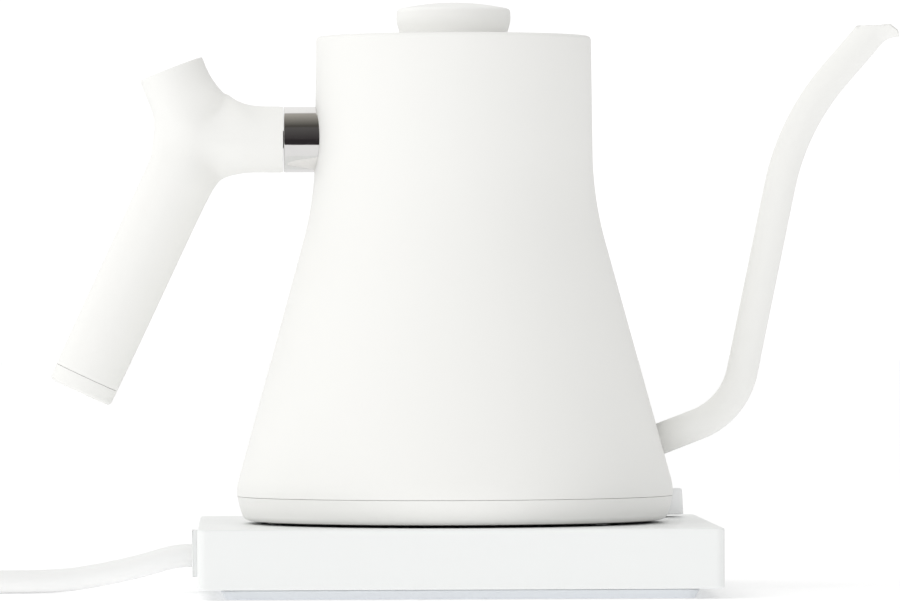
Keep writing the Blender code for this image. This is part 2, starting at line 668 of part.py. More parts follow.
def make_lid():
    lid = axis_empty("lid_axis", (0.0, 0.0, 0.0))
    plate = [(2.4 * MM, LID_TOP), (LID_RADIUS, LID_TOP, 1.0 * MM), (LID_RADIUS, 187.6 * MM),
             (36.4 * MM, 187.6 * MM), (36.4 * MM, LID_TOP - 1.0 * MM),
             (2.4 * MM, LID_TOP - 1.0 * MM)]
    turned("lid_plate", rounded_line(plate, math.radians(30.0)), WHITE_COAT, LARGE_STEPS,
           closed=True, parent=lid)
    turned("lid_body", [(2.4 * MM, 189.9 * MM), (36.0 * MM, 189.9 * MM), (36.0 * MM, 184.4 * MM),
                        (35.2 * MM, 184.4 * MM), (35.2 * MM, 181.6 * MM), (36.0 * MM, 181.6 * MM),
                        (36.0 * MM, 177.5 * MM), (34.0 * MM, 177.5 * MM), (34.0 * MM, 188.2 * MM),
                        (2.4 * MM, 188.2 * MM)], BLACK_PLASTIC, LARGE_STEPS, closed=True,
           parent=lid)
    ring("lid_gasket", 35.5 * MM, 37.6 * MM, 181.9 * MM, 184.1 * MM, GREY_RUBBER, LARGE_STEPS,
         parent=lid)
    turned("lid_knob", rounded_line([
        (0.0, LID_KNOB_TOP), (8.0 * MM, LID_KNOB_TOP, 90 * MM), (19.6 * MM, 201.0 * MM, 1.6 * MM),
        (LID_KNOB_RADIUS, 196.6 * MM, 9.0 * MM), (18.2 * MM, LID_TOP + GAP, 0.6 * MM),
        (2.3 * MM, LID_TOP + GAP), (2.3 * MM, 198.0 * MM), (0.0, 198.0 * MM),
    ], math.radians(30.0)), WHITE_PLASTIC, MEDIUM_STEPS, parent=lid)
    turned("lid_screw", [(0.0, 197.6 * MM), (2.0 * MM, 197.6 * MM), (2.0 * MM, 187.9 * MM),
                         (3.8 * MM, 187.9 * MM), (3.8 * MM, 186.2 * MM), (0.0, 186.2 * MM)],
           BRUSHED_STEEL, SMALL_STEPS, parent=lid)


# ---------------------------------------------------------------- powered base

def base_corners():
    """The places of the four screw posts, just inside the base's corners."""
    x = BASE_HALF_WIDTH - SCREW_POST_INSET
    return [(sx * x, y) for sx in (-1, 1)
            for y in (BASE_FRONT + SCREW_POST_INSET, BASE_BACK - SCREW_POST_INSET)]


DISPLAY = ((-18.0 * MM, 80.0 * MM), (18.0 * MM, 93.0 * MM))      # low and high X and Y
DISPLAY_TOP = 23.6 * MM


def make_base_shells():
    cover = box("base_cover", (-BASE_HALF_WIDTH, BASE_FRONT, BASE_BOTTOM),
                (BASE_HALF_WIDTH, BASE_BACK, BASE_TOP), WHITE_PLASTIC, corner=BASE_CORNER,
                edge=0.8 * MM, open_below=True)
    shell = cover.modifiers.new("sheet", "SOLIDIFY")
    shell.thickness = BASE_WALL
    shell.offset = -1.0
    shell.use_even_offset = True
    for number, place in enumerate(base_corners(), 1):
        post = cylinder(f"screw_post_{number}", SCREW_POST_RADIUS, 6.5 * MM, 22.5 * MM, None,
                        place=place)
        cut(cover, post, "UNION")
    for number, place in enumerate(base_corners(), 1):
        hole(cover, f"post_hole_{number}", 1.5 * MM, 4.0 * MM, 18.0 * MM, place)
    hole(cover, "socket_hole", CONNECTOR_RADIUS + GAP, 0.0, 30 * MM, (0.0, 0.0), MEDIUM_STEPS)
    hole(cover, "knob_hole", 4.0 * MM, 15 * MM, 30 * MM, (KNOB_X, KNOB_Y))
    (low_x, low_y), (high_x, high_y) = DISPLAY
    cut(cover, box("display_hole", (low_x - GAP, low_y - GAP, 15 * MM),
                   (high_x + GAP, high_y + GAP, 30 * MM), None))
    cut(cover, rod("gland_hole", 6.1 * MM, (-95 * MM, 0, CORD_EXIT.z), (-80 * MM, 0, CORD_EXIT.z),
                   None))
    inner = BASE_WALL + GAP
    tray = box("base_tray", (inner - BASE_HALF_WIDTH, BASE_FRONT + inner, BASE_BOTTOM),
               (BASE_HALF_WIDTH - inner, BASE_BACK - inner, BASE_BOTTOM + TRAY_THICKNESS),
               WHITE_PLASTIC, corner=1.5 * MM)
    for number, place in enumerate(base_corners(), 1):
        hole(tray, f"tray_hole_{number}", 1.5 * MM, 0.0, 10 * MM, place)
        hole(tray, f"tray_sink_{number}", 2.9 * MM, 0.0, 4.9 * MM, place)
        turned(f"base_screw_{number}", [(0.0, 14.0 * MM), (1.2 * MM, 14.0 * MM),
                                        (1.2 * MM, 4.6 * MM), (2.6 * MM, 4.6 * MM),
                                        (2.6 * MM, BASE_BOTTOM), (0.0, BASE_BOTTOM)],
               BRUSHED_STEEL, 12, place=(*place, 0.0))
    box("foot_pad", (FOOT_INSET - BASE_HALF_WIDTH, BASE_FRONT + FOOT_INSET, 0.0),
        (BASE_HALF_WIDTH - FOOT_INSET, BASE_BACK - FOOT_INSET, FOOT_HEIGHT), GREY_RUBBER,
        corner=4.0 * MM, draft=FOOT_DRAFT)


def make_controls():
    (low_x, low_y), (high_x, high_y) = DISPLAY
    box("display_window", (low_x, low_y, 22.1 * MM), (high_x, high_y, DISPLAY_TOP), DARK_GLASS)
    box("display_module", (low_x, low_y, 17.0 * MM), (high_x, high_y, 21.5 * MM), BLACK_PLASTIC)
    knob_axis = axis_empty("knob_axis", (KNOB_X, KNOB_Y, 0.0))
    box("rotary_encoder", (KNOB_X - 6 * MM, KNOB_Y - 6 * MM, 13.0 * MM),
        (KNOB_X + 6 * MM, KNOB_Y + 6 * MM, 19.7 * MM), BRUSHED_STEEL)
    cylinder("encoder_shaft", 3.0 * MM, 20.8 * MM, 30.4 * MM, ALUMINIUM, parent=knob_axis)
    turned("control_knob", rounded_line([
        (0.0, KNOB_TOP), (KNOB_RADIUS - 0.5 * MM, KNOB_TOP, 0.9 * MM), (KNOB_RADIUS, KNOB_BOTTOM),
        (3.3 * MM, KNOB_BOTTOM), (3.3 * MM, 30.8 * MM), (0.0, 30.8 * MM),
    ], math.radians(30.0)), WHITE_PLASTIC, MEDIUM_STEPS, parent=knob_axis)


def make_electronics():
    box("circuit_board", (-46 * MM, 44 * MM, 9.0 * MM), (60 * MM, 86 * MM, 10.6 * MM), BOARD_GREEN)
    box("power_relay", (4 * MM, 55 * MM, 10.9 * MM), (24 * MM, 70 * MM, 20.5 * MM), BLACK_PLASTIC)
    box("terminal_block", (-42 * MM, 48 * MM, 10.9 * MM), (-24 * MM, 60 * MM, 19.0 * MM),
        WHITE_PLASTIC)
    box("cord_clamp", (-68 * MM, -9 * MM, 6.4 * MM), (-60 * MM, 9 * MM, 19.0 * MM), WHITE_PLASTIC)
    start = -60 * MM + GAP + 1.0 * MM
    z = 13.0 * MM
    routes = {
        "live_lead": [(start, 4 * MM, z), (-53 * MM, 6 * MM, z), (-44 * MM, 22 * MM, 14 * MM),
                      (-39 * MM, 38 * MM, 14.5 * MM), (-39 * MM, 46.6 * MM, 14.5 * MM)],
        "neutral_lead": [(start, 0.0, z), (-50 * MM, 1 * MM, z), (-38 * MM, 20 * MM, 14 * MM),
                         (-33 * MM, 38 * MM, 14.5 * MM), (-33 * MM, 46.6 * MM, 14.5 * MM)],
        "earth_lead": [(start, -4 * MM, z), (-48 * MM, -6 * MM, z), (-32 * MM, -4 * MM, 14 * MM),
                       (-17.0 * MM, 0.0, 15 * MM)],
    }
    for name, route in routes.items():
        tube(name, smooth_route(route, 4 * MM), 1.0 * MM, CORD_WHITE)


def make_cord():
    gland_z = 13.6 * MM
    boss = box("cord_gland", (CORD_EXIT.x, -8 * MM, gland_z - 8 * MM),
               (-BASE_HALF_WIDTH - GAP, 8 * MM, gland_z + 8 * MM), WHITE_PLASTIC)
    sleeve = rod("gland_sleeve", 5.8 * MM, (-89.5 * MM, 0, CORD_EXIT.z),
                 (-68.6 * MM, 0, CORD_EXIT.z), None, 20)
    cut(boss, sleeve, "UNION")
    start = CORD_EXIT - Vector((GAP, 0.0, 0.0))
    ring_gap = COIL_RADIUS + CORD_RADIUS * 2 + 0.5 * MM
    leave = math.sqrt(ring_gap ** 2 - COIL_RADIUS ** 2)
    tangent = COIL_CENTRE.y - COIL_RADIUS
    lead = [start - Vector((3.0 * MM, 0.0, 0.0)), (-99.0 * MM, 0, 11.9 * MM),
            (-108.4 * MM, 0, 9.3 * MM), (-119.0 * MM, 0, 6.9 * MM), (-132.7 * MM, -0.5 * MM, 4.7 * MM),
            (-146.0 * MM, -1.2 * MM, CORD_REST_Z), (-160.0 * MM, -1.6 * MM, CORD_REST_Z),
            (-175.0 * MM, -1.0 * MM, CORD_REST_Z),
            (COIL_CENTRE.x + leave, tangent, CORD_REST_Z)]
    tube("power_cord", [start, *smooth_route(lead, CORD_RADIUS * 4)], CORD_RADIUS, CORD_WHITE, 3)
    half = CORD_RADIUS + 0.1 * MM
    top = CORD_REST_Z + half + (COIL_TURNS - 1) * CORD_RADIUS * 2
    turned("cord_coil", rounded_line([
        (COIL_RADIUS - half, 8 * MM), (COIL_RADIUS - half, top, 2 * MM),
        (COIL_RADIUS + half, top, 2 * MM), (COIL_RADIUS + half, 0.0, 2 * MM),
        (COIL_RADIUS - half, 0.0, 2 * MM), (COIL_RADIUS - half, 8 * MM),
    ], math.radians(45.0))[:-1], CORD_WHITE, MEDIUM_STEPS, closed=True, place=COIL_CENTRE)
    high = CORD_REST_Z + CORD_RADIUS * 2
    tail = [(COIL_CENTRE.x - leave, tangent - 0.5 * MM, high - 1.5 * MM),
            (-262 * MM, 2.5 * MM, 7.6 * MM), (-275 * MM, 11 * MM, 6.9 * MM),
            (-283 * MM, 23 * MM, 9.6 * MM), (PLUG_X, PLUG_Y - 3.0 * MM, PLUG_Z)]
    tube("cord_tail", [*smooth_route(tail, CORD_RADIUS * 4), (PLUG_X, PLUG_Y - GAP, PLUG_Z)],
         CORD_RADIUS, CORD_WHITE, 3)
    make_plug()


def make_plug():
    body_y = PLUG_Y + PLUG_NECK
    body = box("plug_body", (PLUG_X - PLUG_WIDTH / 2, body_y, PLUG_Z - PLUG_HEIGHT / 2),
               (PLUG_X + PLUG_WIDTH / 2, body_y + PLUG_LENGTH, PLUG_Z + PLUG_HEIGHT / 2),
               CORD_WHITE, corner=4 * MM)
    neck = turned("plug_neck", [(0.0, PLUG_NECK + 4 * MM), (7.0 * MM, PLUG_NECK + 4 * MM),
                                (7.0 * MM, PLUG_NECK), (5.0 * MM, 0.0), (0.0, 0.0)], None, 20,
                  place=(PLUG_X, PLUG_Y, PLUG_Z), turn=(math.radians(-90.0), 0.0, 0.0))
    cut(body, neck, "UNION")
    face_y = body_y + PLUG_LENGTH
    low_z = PLUG_Z - 4.5 * MM
    for number, side in enumerate((-1, 1), 1):
        x = PLUG_X + side * 6.35 * MM
        blade = ((x - 0.75 * MM, face_y - 6 * MM, low_z - 3.15 * MM),
                 (x + 0.75 * MM, face_y + 17 * MM, low_z + 3.15 * MM))
        low, high = (Vector(corner) for corner in blade)
        margin = Vector((GAP, GAP, GAP))
        cut(body, box(f"blade_slot_{number}", low - margin, high + margin, None))
        box(f"plug_blade_{number}", low, high, BRASS)
    earth_z = PLUG_Z + 7.4 * MM
    cut(body, rod("earth_hole", 2.7 * MM, (PLUG_X, face_y - 6.3 * MM, earth_z),
                  (PLUG_X, face_y + 10 * MM, earth_z), None))
    rod("plug_earth_pin", 2.4 * MM, (PLUG_X, face_y - 6 * MM, earth_z),
        (PLUG_X, face_y + 20 * MM, earth_z), BRASS)


make_body()
make_bottom_cover()
make_underside()
make_heater()
make_connectors()
make_spout()
make_handle()
make_lid()
make_base_shells()
make_controls()
make_electronics()
make_cord()
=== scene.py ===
import math

import bmesh
import bpy
from mathutils import Matrix, Vector


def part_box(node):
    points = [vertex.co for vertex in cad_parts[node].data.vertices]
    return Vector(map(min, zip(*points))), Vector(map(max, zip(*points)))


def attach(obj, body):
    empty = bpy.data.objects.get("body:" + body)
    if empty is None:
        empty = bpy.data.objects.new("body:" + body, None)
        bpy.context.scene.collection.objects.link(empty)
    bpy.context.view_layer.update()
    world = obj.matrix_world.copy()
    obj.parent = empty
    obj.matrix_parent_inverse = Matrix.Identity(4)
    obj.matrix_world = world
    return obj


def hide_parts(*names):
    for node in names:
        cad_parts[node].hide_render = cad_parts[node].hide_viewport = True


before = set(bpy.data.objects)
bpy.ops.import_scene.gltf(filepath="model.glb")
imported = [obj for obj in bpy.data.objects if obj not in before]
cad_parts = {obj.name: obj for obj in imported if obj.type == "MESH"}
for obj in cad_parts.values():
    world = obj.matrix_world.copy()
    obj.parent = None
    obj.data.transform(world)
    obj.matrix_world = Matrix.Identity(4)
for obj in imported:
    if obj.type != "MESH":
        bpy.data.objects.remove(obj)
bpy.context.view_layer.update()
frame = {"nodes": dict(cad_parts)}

scene = bpy.context.scene
mm = 0.001

# ---- Camera
# A long lens a little above the middle of the kettle, held level, square to the handle and
# spout, turned a degree and a half towards the handle and a hair out of upright.
camera_distance = 2.7
camera_height = 97.6 * mm
camera_turn = math.radians(-1.5)
camera_roll = math.radians(0.18)
camera_data = bpy.data.cameras.new("camera")
camera_data.lens = 313.0
camera_data.sensor_width = 36.0
camera_data.shift_y = 0.0052
camera_data.clip_start = 0.1
camera_data.clip_end = 60.0
camera = bpy.data.objects.new("camera", camera_data)
camera_aim_x = -1.5 * mm
camera.location = (camera_aim_x + camera_distance * math.sin(camera_turn),
                   -camera_distance * math.cos(camera_turn), camera_height)
camera.rotation_euler = (math.radians(90.0), camera_roll, camera_turn)
scene.collection.objects.link(camera)
scene.camera = camera

# ---- Light
# A white studio: soft light from everywhere, a little brighter on the left and dimmer on the
# right. In front the room is dark from the table's edge to overhead, which only shiny
# pieces pick up.
scene.view_settings.view_transform = "Standard"
world = bpy.data.worlds.new("studio")
scene.world = world
world.use_nodes = True
sky = world.node_tree
sky.nodes.clear()
left_light = 1.125
middle_light = 0.962
right_light = 0.525
backdrop_white = 1.1


def add_node(tree, kind, **settings):
    """A new node, with its settings, in a world's, a material's or a group's node tree."""
    made = tree.nodes.new(kind)
    for key, value in settings.items():
        setattr(made, key, value)
    return made


# the world's colour runs across from the left to the right
direction = add_node(sky, "ShaderNodeSeparateXYZ")
sky.links.new(add_node(sky, "ShaderNodeTexCoord").outputs["Generated"], direction.inputs[0])
placed = add_node(sky, "ShaderNodeMath", operation="MULTIPLY_ADD")
placed.inputs[1].default_value = 0.5
placed.inputs[2].default_value = 0.5
sky.links.new(direction.outputs["X"], placed.inputs[0])
across = add_node(sky, "ShaderNodeValToRGB")
across.color_ramp.elements[0].color = (left_light, left_light, left_light * 0.99, 1.0)
across.color_ramp.elements[1].color = (right_light, right_light, right_light, 1.0)
middle_stop = across.color_ramp.elements.new(0.5)
middle_stop.color = (middle_light, middle_light, middle_light * 0.99, 1.0)
sky.links.new(placed.outputs[0], across.inputs[0])
# the dark room in front: its shade by the angle above the floor, from 0 in front to 1 behind
forward = add_node(sky, "ShaderNodeMath", operation="MULTIPLY")
forward.inputs[1].default_value = -1.0
sky.links.new(direction.outputs["Y"], forward.inputs[0])
raised = add_node(sky, "ShaderNodeMath", operation="ARCTAN2")
sky.links.new(direction.outputs["Z"], raised.inputs[0])
sky.links.new(forward.outputs[0], raised.inputs[1])
share = add_node(sky, "ShaderNodeMath", operation="DIVIDE")
share.inputs[1].default_value = math.pi
sky.links.new(raised.outputs[0], share.inputs[0])
dark_room = add_node(sky, "ShaderNodeValToRGB")
dark_room.color_ramp.elements[0].position = 0.0
dark_room.color_ramp.elements[0].color = (0.045, 0.040, 0.042, 1.0)
dark_room.color_ramp.elements[1].position = 0.60
dark_room.color_ramp.elements[1].color = (1.0, 1.0, 1.0, 1.0)
for position, colour in ((0.22, (0.10, 0.096, 0.094, 1.0)), (0.26, (0.07, 0.066, 0.058, 1.0)),
                         (0.52, (0.40, 0.385, 0.35, 1.0)), (0.57, (0.44, 0.425, 0.40, 1.0))):
    dark_room.color_ramp.elements.new(position).color = colour
sky.links.new(share.outputs[0], dark_room.inputs[0])
shiny = add_node(sky, "ShaderNodeMix", data_type="RGBA", blend_type="MULTIPLY")
rays = add_node(sky, "ShaderNodeLightPath")
sky.links.new(rays.outputs["Is Glossy Ray"], shiny.inputs["Factor"])
sky.links.new(across.outputs["Color"], shiny.inputs["A"])
sky.links.new(dark_room.outputs["Color"], shiny.inputs["B"])
seen = add_node(sky, "ShaderNodeMix", data_type="RGBA")
sky.links.new(rays.outputs["Is Camera Ray"], seen.inputs["Factor"])
sky.links.new(shiny.outputs["Result"], seen.inputs["A"])
seen.inputs["B"].default_value = (backdrop_white, backdrop_white, backdrop_white, 1.0)
glow = add_node(sky, "ShaderNodeBackground")
sky.links.new(seen.outputs["Result"], glow.inputs["Color"])
sky.links.new(glow.outputs[0], add_node(sky, "ShaderNodeOutputWorld").inputs["Surface"])

lamp = bpy.data.lights.new("top_left_panel", "AREA")
lamp.shape = "SQUARE"
lamp.size = 1.4
lamp.energy = 6.0
panel = bpy.data.objects.new("top_left_panel", lamp)
panel.location = (-1.2, -0.9, 1.9)
panel.visible_glossy = False
panel_aim = Vector((0.0, 0.0, 0.1))
panel.rotation_euler = (panel_aim - panel.location).to_track_quat("-Z", "Y").to_euler()
scene.collection.objects.link(panel)

# ---- Table
# A plain white table top, far larger than the view and lit a little from within, so that only
# the contact shadow shows. Shiny pieces see it unlit, and ending in front at its edge.
table_edge = -0.43
table_glow_seen = 0.2
table_glow_cast = 0.33
table_shape = bmesh.new()
bmesh.ops.create_grid(table_shape, x_segments=1, y_segments=1, size=12.0)
table_mesh = bpy.data.meshes.new("table")
table_shape.to_mesh(table_mesh)
table_shape.free()
table_white = bpy.data.materials.new("table_white")
table_white.use_nodes = True
table_tree = table_white.node_tree
table_shader = table_tree.nodes["Principled BSDF"]
table_shader.inputs["Base Color"].default_value = (0.90, 0.90, 0.905, 1.0)
table_shader.inputs["Roughness"].default_value = 0.7
table_shader.inputs["Specular IOR Level"].default_value = 0.0
table_shader.inputs["Emission Color"].default_value = (1.0, 1.0, 1.0, 1.0)
table_rays = add_node(table_tree, "ShaderNodeLightPath")
table_glow = add_node(table_tree, "ShaderNodeMapRange")
table_glow.inputs["To Min"].default_value = table_glow_seen
table_glow.inputs["To Max"].default_value = table_glow_cast
table_tree.links.new(table_rays.outputs["Is Diffuse Ray"], table_glow.inputs["Value"])
table_unlit = add_node(table_tree, "ShaderNodeMath", operation="SUBTRACT", use_clamp=True)
table_tree.links.new(table_glow.outputs["Result"], table_unlit.inputs[0])
table_tree.links.new(table_rays.outputs["Is Glossy Ray"], table_unlit.inputs[1])
table_tree.links.new(table_unlit.outputs[0], table_shader.inputs["Emission Strength"])
table_where = add_node(table_tree, "ShaderNodeSeparateXYZ")
table_tree.links.new(add_node(table_tree, "ShaderNodeTexCoord").outputs["Object"],
                     table_where.inputs[0])
past_edge = add_node(table_tree, "ShaderNodeMath", operation="LESS_THAN")
past_edge.inputs[1].default_value = table_edge
table_tree.links.new(table_where.outputs["Y"], past_edge.inputs[0])
hidden = add_node(table_tree, "ShaderNodeMath", operation="MULTIPLY")
table_tree.links.new(past_edge.outputs[0], hidden.inputs[0])
table_tree.links.new(table_rays.outputs["Is Glossy Ray"], hidden.inputs[1])
dark = add_node(table_tree, "ShaderNodeEmission")
dark.inputs["Color"].default_value = (0.03, 0.026, 0.028, 1.0)
table_mix = add_node(table_tree, "ShaderNodeMixShader")
table_tree.links.new(hidden.outputs[0], table_mix.inputs[0])
table_tree.links.new(table_shader.outputs[0], table_mix.inputs[1])
table_tree.links.new(dark.outputs[0], table_mix.inputs[2])
table_tree.links.new(table_mix.outputs[0], table_tree.nodes["Material Output"].inputs["Surface"])
table = bpy.data.objects.new("table", table_mesh)
table.data.materials.append(table_white)
scene.collection.objects.link(table)

# ---- Mains cord
# A round white PVC lead, 8 mm thick and 0.78 m long. It leaves the handle side of the base,
# drops to the table and lies there; the rest is wound twice round, one turn on the other,
# and ends in its plug.
cord_radius = 4.0 * mm
cord_rest = 4.05 * mm
cord_exit = Vector((-90.7 * mm, 0.0, 12.8 * mm))
coil_centre = Vector((-218.0 * mm, 44.0 * mm, 0.0))
coil_radius = 44.0 * mm
plug_x = -287.0 * mm
plug_y = 40.0 * mm
plug_z = 12.6 * mm


def ease(value):
    """0 up to 0, 1 from 1 on, and a smooth rise between them."""
    value = min(1.0, max(0.0, value))
    return value * value * (3.0 - 2.0 * value)


def coil_point(angle):
    """The cord's centre after turning by an angle, in degrees, from the coil's near side."""
    radius = coil_radius + 8.5 * mm * ease((angle - 625.0) / 70.0)
    climb = 2 * cord_radius * ease((angle - 285.0) / 75.0)
    turn = math.radians(angle)
    return (coil_centre.x - radius * math.sin(turn), coil_centre.y - radius * math.cos(turn),
            cord_rest + climb)


cord_route = [
    cord_exit, (-94.0 * mm, 0.0, 12.7 * mm), (-99.0 * mm, 0.0, 11.9 * mm),
    (-108.4 * mm, 0.0, 9.3 * mm), (-119.0 * mm, 0.0, 6.9 * mm),
    (-132.7 * mm, -0.5 * mm, 4.7 * mm), (-146.0 * mm, -1.2 * mm, cord_rest),
    (-160.0 * mm, -1.6 * mm, cord_rest), (-175.0 * mm, -1.0 * mm, cord_rest),
    (-189.5 * mm, 0.0, cord_rest), (-204.0 * mm, 0.0, cord_rest),
]
cord_route += [coil_point(angle) for angle in range(0, 721, 15)]
cord_route += [
    (-232.0 * mm, -8.6 * mm, 11.0 * mm), (-247.0 * mm, -6.0 * mm, 8.4 * mm),
    (-262.0 * mm, 0.5 * mm, 6.6 * mm), (-275.0 * mm, 10.5 * mm, 6.8 * mm),
    (-283.5 * mm, 23.0 * mm, 9.4 * mm), (plug_x, 36.0 * mm, 12.4 * mm),
    (plug_x, plug_y + 1.0 * mm, plug_z),
]


def smooth_route(points, steps):
    """Points on the Catmull-Rom curve through the given points, some steps to each span."""
    points = [Vector(point) for point in points]
    ends = [points[0] * 2 - points[1], *points, points[-1] * 2 - points[-2]]
    line = []
    for a, b, c, d in zip(ends, ends[1:], ends[2:], ends[3:]):
        for count in range(steps):
            t = count / steps
            line.append((b * 2 + (c - a) * t + (a * 2 - b * 5 + c * 4 - d) * t ** 2
                         + (b * 3 - a - c * 3 + d) * t ** 3) / 2)
    return [*line, points[-1]]


cord_curve = bpy.data.curves.new("mains_cord", "CURVE")
cord_curve.dimensions = "3D"
cord_curve.bevel_depth = cord_radius
cord_curve.bevel_resolution = 8
cord_curve.use_fill_caps = True
cord_line = cord_curve.splines.new("POLY")
cord_points = smooth_route(cord_route, 4)
cord_line.points.add(len(cord_points) - 1)
for cord_point, place in zip(cord_line.points, cord_points):
    cord_point.co = (*place, 1.0)
cord_line.use_smooth = True
mains_cord = bpy.data.objects.new("mains_cord", cord_curve)
scene.collection.objects.link(mains_cord)


def grain_group():
    """Fine surface texture for moulded and coated pieces: a height, and a slow wear mask."""
    group = bpy.data.node_groups.new("surface_grain", "ShaderNodeTree")
    face = group.interface
    for label, value in (("Grain Size", 0.0005), ("Wear Size", 0.03), ("Peel", 0.3)):
        face.new_socket(label, in_out="INPUT", socket_type="NodeSocketFloat").default_value = value
    face.new_socket("Height", in_out="OUTPUT", socket_type="NodeSocketFloat")
    face.new_socket("Wear", in_out="OUTPUT", socket_type="NodeSocketFloat")
    links = group.links
    given = add_node(group, "NodeGroupInput")
    result = add_node(group, "NodeGroupOutput")
    where = add_node(group, "ShaderNodeTexCoord")

    def noise(size, detail):
        scale = add_node(group, "ShaderNodeMath", operation="DIVIDE")
        scale.inputs[0].default_value = 1.0
        links.new(size, scale.inputs[1])
        made = add_node(group, "ShaderNodeTexNoise")
        made.inputs["Detail"].default_value = detail
        links.new(where.outputs["Object"], made.inputs["Vector"])
        links.new(scale.outputs[0], made.inputs["Scale"])
        return made.outputs["Fac"]

    fine = noise(given.outputs["Grain Size"], 3.0)
    wider = add_node(group, "ShaderNodeMath", operation="MULTIPLY")
    wider.inputs[1].default_value = 4.0
    links.new(given.outputs["Grain Size"], wider.inputs[0])
    peel = noise(wider.outputs[0], 1.0)
    blend = add_node(group, "ShaderNodeMix", data_type="FLOAT")
    links.new(given.outputs["Peel"], blend.inputs["Factor"])
    links.new(fine, blend.inputs["A"])
    links.new(peel, blend.inputs["B"])
    links.new(blend.outputs["Result"], result.inputs["Height"])
    links.new(noise(given.outputs["Wear Size"], 4.0), result.inputs["Wear"])
    return group


surface_grain = grain_group()


def textured(name, group, tones, gloss_range, drives, bump):
    """A material whose tone, gloss and relief follow the outputs of a texture group.

    Drives names the outputs that tone, gloss and relief follow, in that order."""
    made = bpy.data.materials.new(name)
    made.use_nodes = True
    tree = made.node_tree
    shader = tree.nodes["Principled BSDF"]
    texture = add_node(tree, "ShaderNodeGroup", node_tree=group)
    tone_by, gloss_by, relief_by = (texture.outputs[drive] for drive in drives)
    tone = add_node(tree, "ShaderNodeMix", data_type="RGBA")
    tone.inputs["A"].default_value = (*tones[0], 1.0)
    tone.inputs["B"].default_value = (*tones[1], 1.0)
    tree.links.new(tone_by, tone.inputs["Factor"])
    tree.links.new(tone.outputs["Result"], shader.inputs["Base Color"])
    gloss = add_node(tree, "ShaderNodeMapRange")
    gloss.inputs["From Min"].default_value = 0.3
    gloss.inputs["From Max"].default_value = 0.7
    gloss.inputs["To Min"].default_value = gloss_range[0]
    gloss.inputs["To Max"].default_value = gloss_range[1]
    tree.links.new(gloss_by, gloss.inputs["Value"])
    tree.links.new(gloss.outputs["Result"], shader.inputs["Roughness"])
    relief = add_node(tree, "ShaderNodeBump")
    relief.inputs["Strength"].default_value = 1.0
    relief.inputs["Distance"].default_value = bump
    tree.links.new(relief_by, relief.inputs["Height"])
    tree.links.new(relief.outputs["Normal"], shader.inputs["Normal"])
    return made, shader, texture


def coated(name, colour, tint, rough, grain, peel, bump, coat=0.0, coat_rough=0.3):
    """A moulded or coated finish: fine grain, with tone and gloss that vary slowly."""
    made, shader, texture = textured(name, surface_grain, (colour, tint),
                                     (rough - 0.04, rough + 0.04),
                                     ("Wear", "Wear", "Height"), bump)
    shader.inputs["Coat Weight"].default_value = coat
    shader.inputs["Coat Roughness"].default_value = coat_rough
    texture.inputs["Grain Size"].default_value = grain
    texture.inputs["Peel"].default_value = peel
    return made


cord_jacket = coated("cord_jacket", (0.86, 0.86, 0.855), (0.84, 0.842, 0.84), 0.42,
                     0.0006, 0.5, 0.00002)
cord_curve.materials.append(cord_jacket)
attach(mains_cord, "base")
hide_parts("power_cord", "cord_coil", "cord_tail")

# ---- Kettle body
# The water vessel: 1.2 mm stainless sheet spun to a near-straight neck on a cone, rolled in
# at the rim to a deep lip, and powder coated matte white outside and over the rim.
rim_z = 191.5 * mm
rim_radius = 47.4 * mm
neck_foot_radius = 48.05 * mm
cone_z = 117.0 * mm
cone_radius = 53.15 * mm
cone_slope = 0.2746
seam_z = 33.2 * mm
seam_radius = 75.2 * mm
seam_gap = 0.16 * mm
body_wall = 1.2 * mm
mouth_radius = 38.0 * mm
mouth_depth = 10.5 * mm
body_steps = 192


def rounded_line(corners, step):
    """The line through corners (u, v, radius), with an arc at each corner that has a radius."""
    line = []
    for index, corner in enumerate(corners):
        here = Vector(corner[:2])
        if len(corner) < 3 or index in (0, len(corners) - 1):
            line.append(here)
            continue
        back = (Vector(corners[index - 1][:2]) - here).normalized()
        ahead = (Vector(corners[index + 1][:2]) - here).normalized()
        turn = math.pi - back.angle(ahead)
        centre = here + (back + ahead).normalized() * corner[2] / math.cos(turn / 2)
        arm = here + back * corner[2] * math.tan(turn / 2) - centre
        side = 1.0 if back.y * ahead.x - back.x * ahead.y > 0.0 else -1.0
        pieces = max(1, math.ceil(turn / math.radians(step)))
        for count in range(pieces + 1):
            line.append(centre + arm @ Matrix.Rotation(-side * turn * count / pieces, 2))
    return line


def sheet_section(line, thickness):
    """The closed outline of a sheet whose outer face follows the line, outer side on its left."""
    inner = []
    for index, here in enumerate(line):
        before = (here - line[index - 1]).normalized() if index else None
        after = (line[index + 1] - here).normalized() if index < len(line) - 1 else None
        along = ((before or after) + (after or before)).normalized()
        inward = Vector((along.y, -along.x))
        spread = max(0.5, along.dot(after or before))
        inner.append(here + inward * thickness / spread)
    return [*line, *reversed(inner)]


def mesh_piece(name, shape, look, body, slot, *nodes, crease=30.0, axis=None, flat=False):
    """Make a finished piece from a bmesh, riding on a body and standing for CAD nodes.

    Flat keeps the big faces of a piece with rounded edges evenly shaded."""
    if axis:
        bmesh.ops.transform(shape, matrix=axis, verts=shape.verts)
    mesh = bpy.data.meshes.new(name)
    shape.to_mesh(mesh)
    shape.free()
    mesh.shade_smooth()
    mesh.set_sharp_from_angle(angle=math.radians(crease))
    mesh.materials.append(look)
    made = bpy.data.objects.new(name, mesh)
    scene.collection.objects.link(made)
    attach(made, body)
    if nodes:
        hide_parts(*nodes)
    if flat:
        made.modifiers.new("flat_faces", "WEIGHTED_NORMAL").keep_sharp = True
    return made


